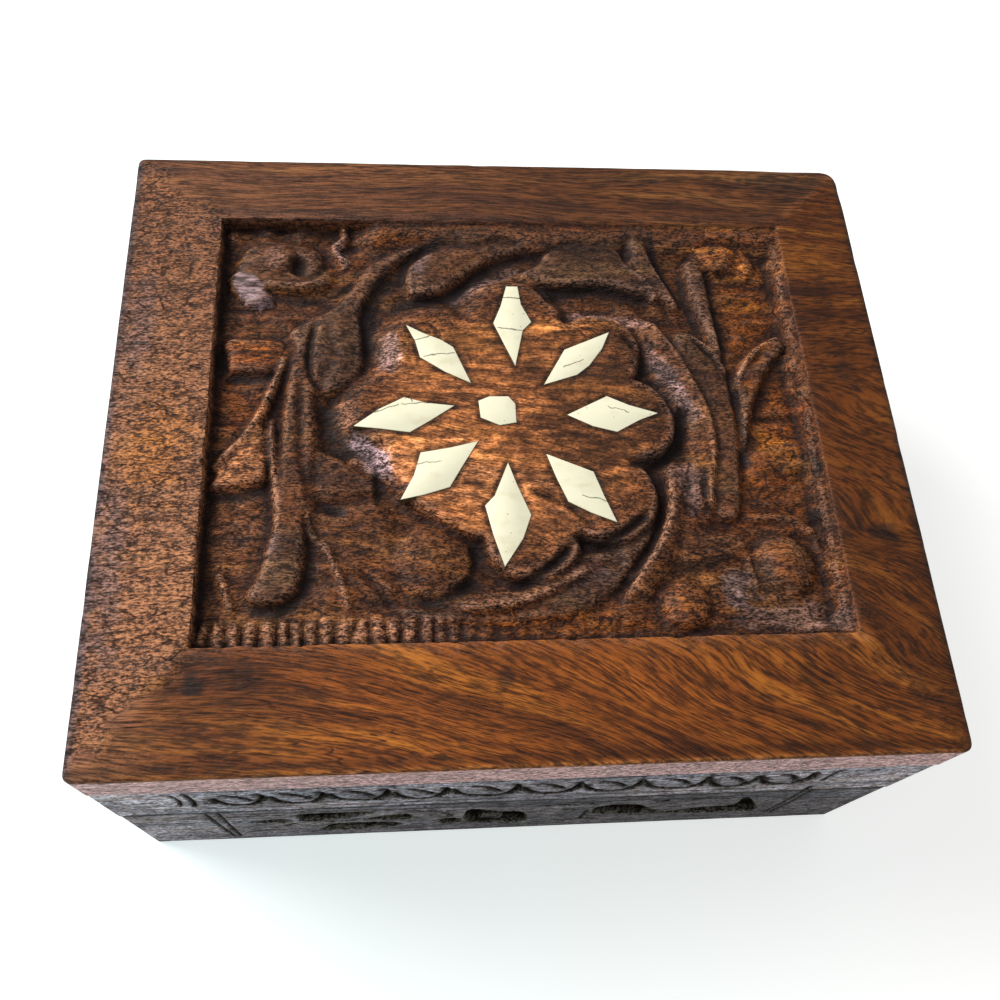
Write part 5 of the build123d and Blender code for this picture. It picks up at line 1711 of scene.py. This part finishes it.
def floor_material():
    """A pale table top, brighter to the camera and in reflections so that it reads as white."""
    stage = settings().stage
    material, tree, shader = new_material("pale_table")
    place = object_place(tree)
    side = fitted(tree, split(tree, place)[0], -0.08, 0.10)
    cool_to_warm = mixed(tree, side, stage.floor_left, stage.floor_right)
    clouds = cloudy(tree, millimetres(tree, place), (60, 60, 60), 2.0)
    colour = mixed(tree, fitted(tree, clouds, 0.3, 0.7, 0.0, 0.25), cool_to_warm, stage.floor)
    tree.links.new(colour, shader.inputs["Base Color"])
    tree.links.new(fitted(tree, clouds, 0.3, 0.7, 0.38, 0.46), shader.inputs["Roughness"])
    shader.inputs["Specular IOR Level"].default_value = 0.3
    ray = add_node(tree, "ShaderNodeLightPath").outputs
    mirrored = plus(tree, ray["Is Glossy Ray"], ray["Is Transmission Ray"])
    seen = plus(tree, ray["Is Camera Ray"], mirrored, True)
    tree.links.new(times(tree, seen, 0.95), shader.inputs["Emission Strength"])
    tree.links.new(cool_to_warm, shader.inputs["Emission Color"])
    return material


def build_floor():
    """A wide plain table top."""
    bm = bmesh.new()
    bmesh.ops.create_grid(bm, x_segments=8, y_segments=8, size=FLOOR_HALF)
    mesh = bpy.data.meshes.new("floor")
    bm.to_mesh(mesh)
    bm.free()
    mesh.materials.append(floor_material())
    floor = bpy.data.objects.new("floor", mesh)
    bpy.context.scene.collection.objects.link(floor)


def build_window():
    """A square soft light on the left behind the box, aimed at it."""
    stage = settings().stage
    light = bpy.data.lights.new("window", "AREA")
    light.size = stage.window_size
    light.energy = stage.window_power
    light.color = stage.window_colour[:3]
    thing = bpy.data.objects.new("window", light)
    thing.location = stage.window_place
    target = Vector((0, 0, 0.03))
    thing.rotation_euler = (target - Vector(stage.window_place)).to_track_quat("-Z", "Y").to_euler()
    bpy.context.scene.collection.objects.link(thing)


def build_world():
    """Even light from all round."""
    stage = settings().stage
    world = bpy.data.worlds.new("room")
    world.use_nodes = True
    background = world.node_tree.nodes["Background"].inputs
    background["Color"].default_value = stage.room
    background["Strength"].default_value = stage.room_strength
    bpy.context.scene.world = world


def build_camera():
    """The camera, at the photograph's place and angle."""
    stage = settings().stage
    forward = Vector(stage.camera_forward).normalized()
    right = Vector(stage.camera_right)
    right = (right - forward * right.dot(forward)).normalized()
    up = right.cross(forward)
    turn = Matrix((right, up, -forward)).transposed().to_4x4()
    data = bpy.data.cameras.new("camera")
    data.sensor_fit = "HORIZONTAL"
    data.angle = stage.camera_angle
    data.clip_start = 0.005
    camera = bpy.data.objects.new("camera", data)
    camera.matrix_world = Matrix.Translation(Vector(stage.camera_place)) @ turn
    bpy.context.scene.collection.objects.link(camera)
    bpy.context.scene.camera = camera


class TRINKET_OT_stage(bpy.types.Operator):
    """Set up the table top, the light and the camera"""

    bl_idname = "trinket.stage"
    bl_label = "Stage"

    def execute(self, context):
        bpy.context.scene.view_settings.view_transform = "Standard"
        build_floor()
        build_world()
        build_window()
        build_camera()
        return {"FINISHED"}


# The add-on's panel and registration

OPERATORS = (
    TRINKET_OT_top_board, TRINKET_OT_inlay, TRINKET_OT_lid_rails, TRINKET_OT_base_walls,
    TRINKET_OT_fittings, TRINKET_OT_stage)
GROUPS = (CarvingSettings, BorderSettings, WoodSettings, TrimSettings, StageSettings, TrinketBoxSettings)


class TRINKET_PT_panel(bpy.types.Panel):
    """Lists the box's settings and the steps that build it"""

    bl_idname = "TRINKET_PT_panel"
    bl_label = "Trinket box"
    bl_space_type = "VIEW_3D"
    bl_region_type = "UI"
    bl_category = "Trinket Box"

    def draw(self, context):
        layout = self.layout
        box = context.scene.trinket_box
        for part in ("carving", "border", "wood", "trim", "stage"):
            group = getattr(box, part)
            section = layout.box()
            section.label(text=part.capitalize())
            for name in group.__annotations__:
                section.prop(group, name)
        for operator in OPERATORS:
            layout.operator(operator.bl_idname)


def register():
    for group in GROUPS:
        bpy.utils.register_class(group)
    for operator in OPERATORS:
        bpy.utils.register_class(operator)
    bpy.utils.register_class(TRINKET_PT_panel)
    bpy.types.Scene.trinket_box = PointerProperty(type=TrinketBoxSettings)


def unregister():
    del bpy.types.Scene.trinket_box
    bpy.utils.unregister_class(TRINKET_PT_panel)
    for operator in reversed(OPERATORS):
        bpy.utils.unregister_class(operator)
    for group in reversed(GROUPS):
        bpy.utils.unregister_class(group)


def main():
    """Builds the dressed box and its stage."""
    register()
    bpy.ops.trinket.top_board()
    bpy.ops.trinket.inlay()
    bpy.ops.trinket.lid_rails()
    bpy.ops.trinket.base_walls()
    bpy.ops.trinket.fittings()
    bpy.ops.trinket.stage()


if __name__ == "__main__":
    main()
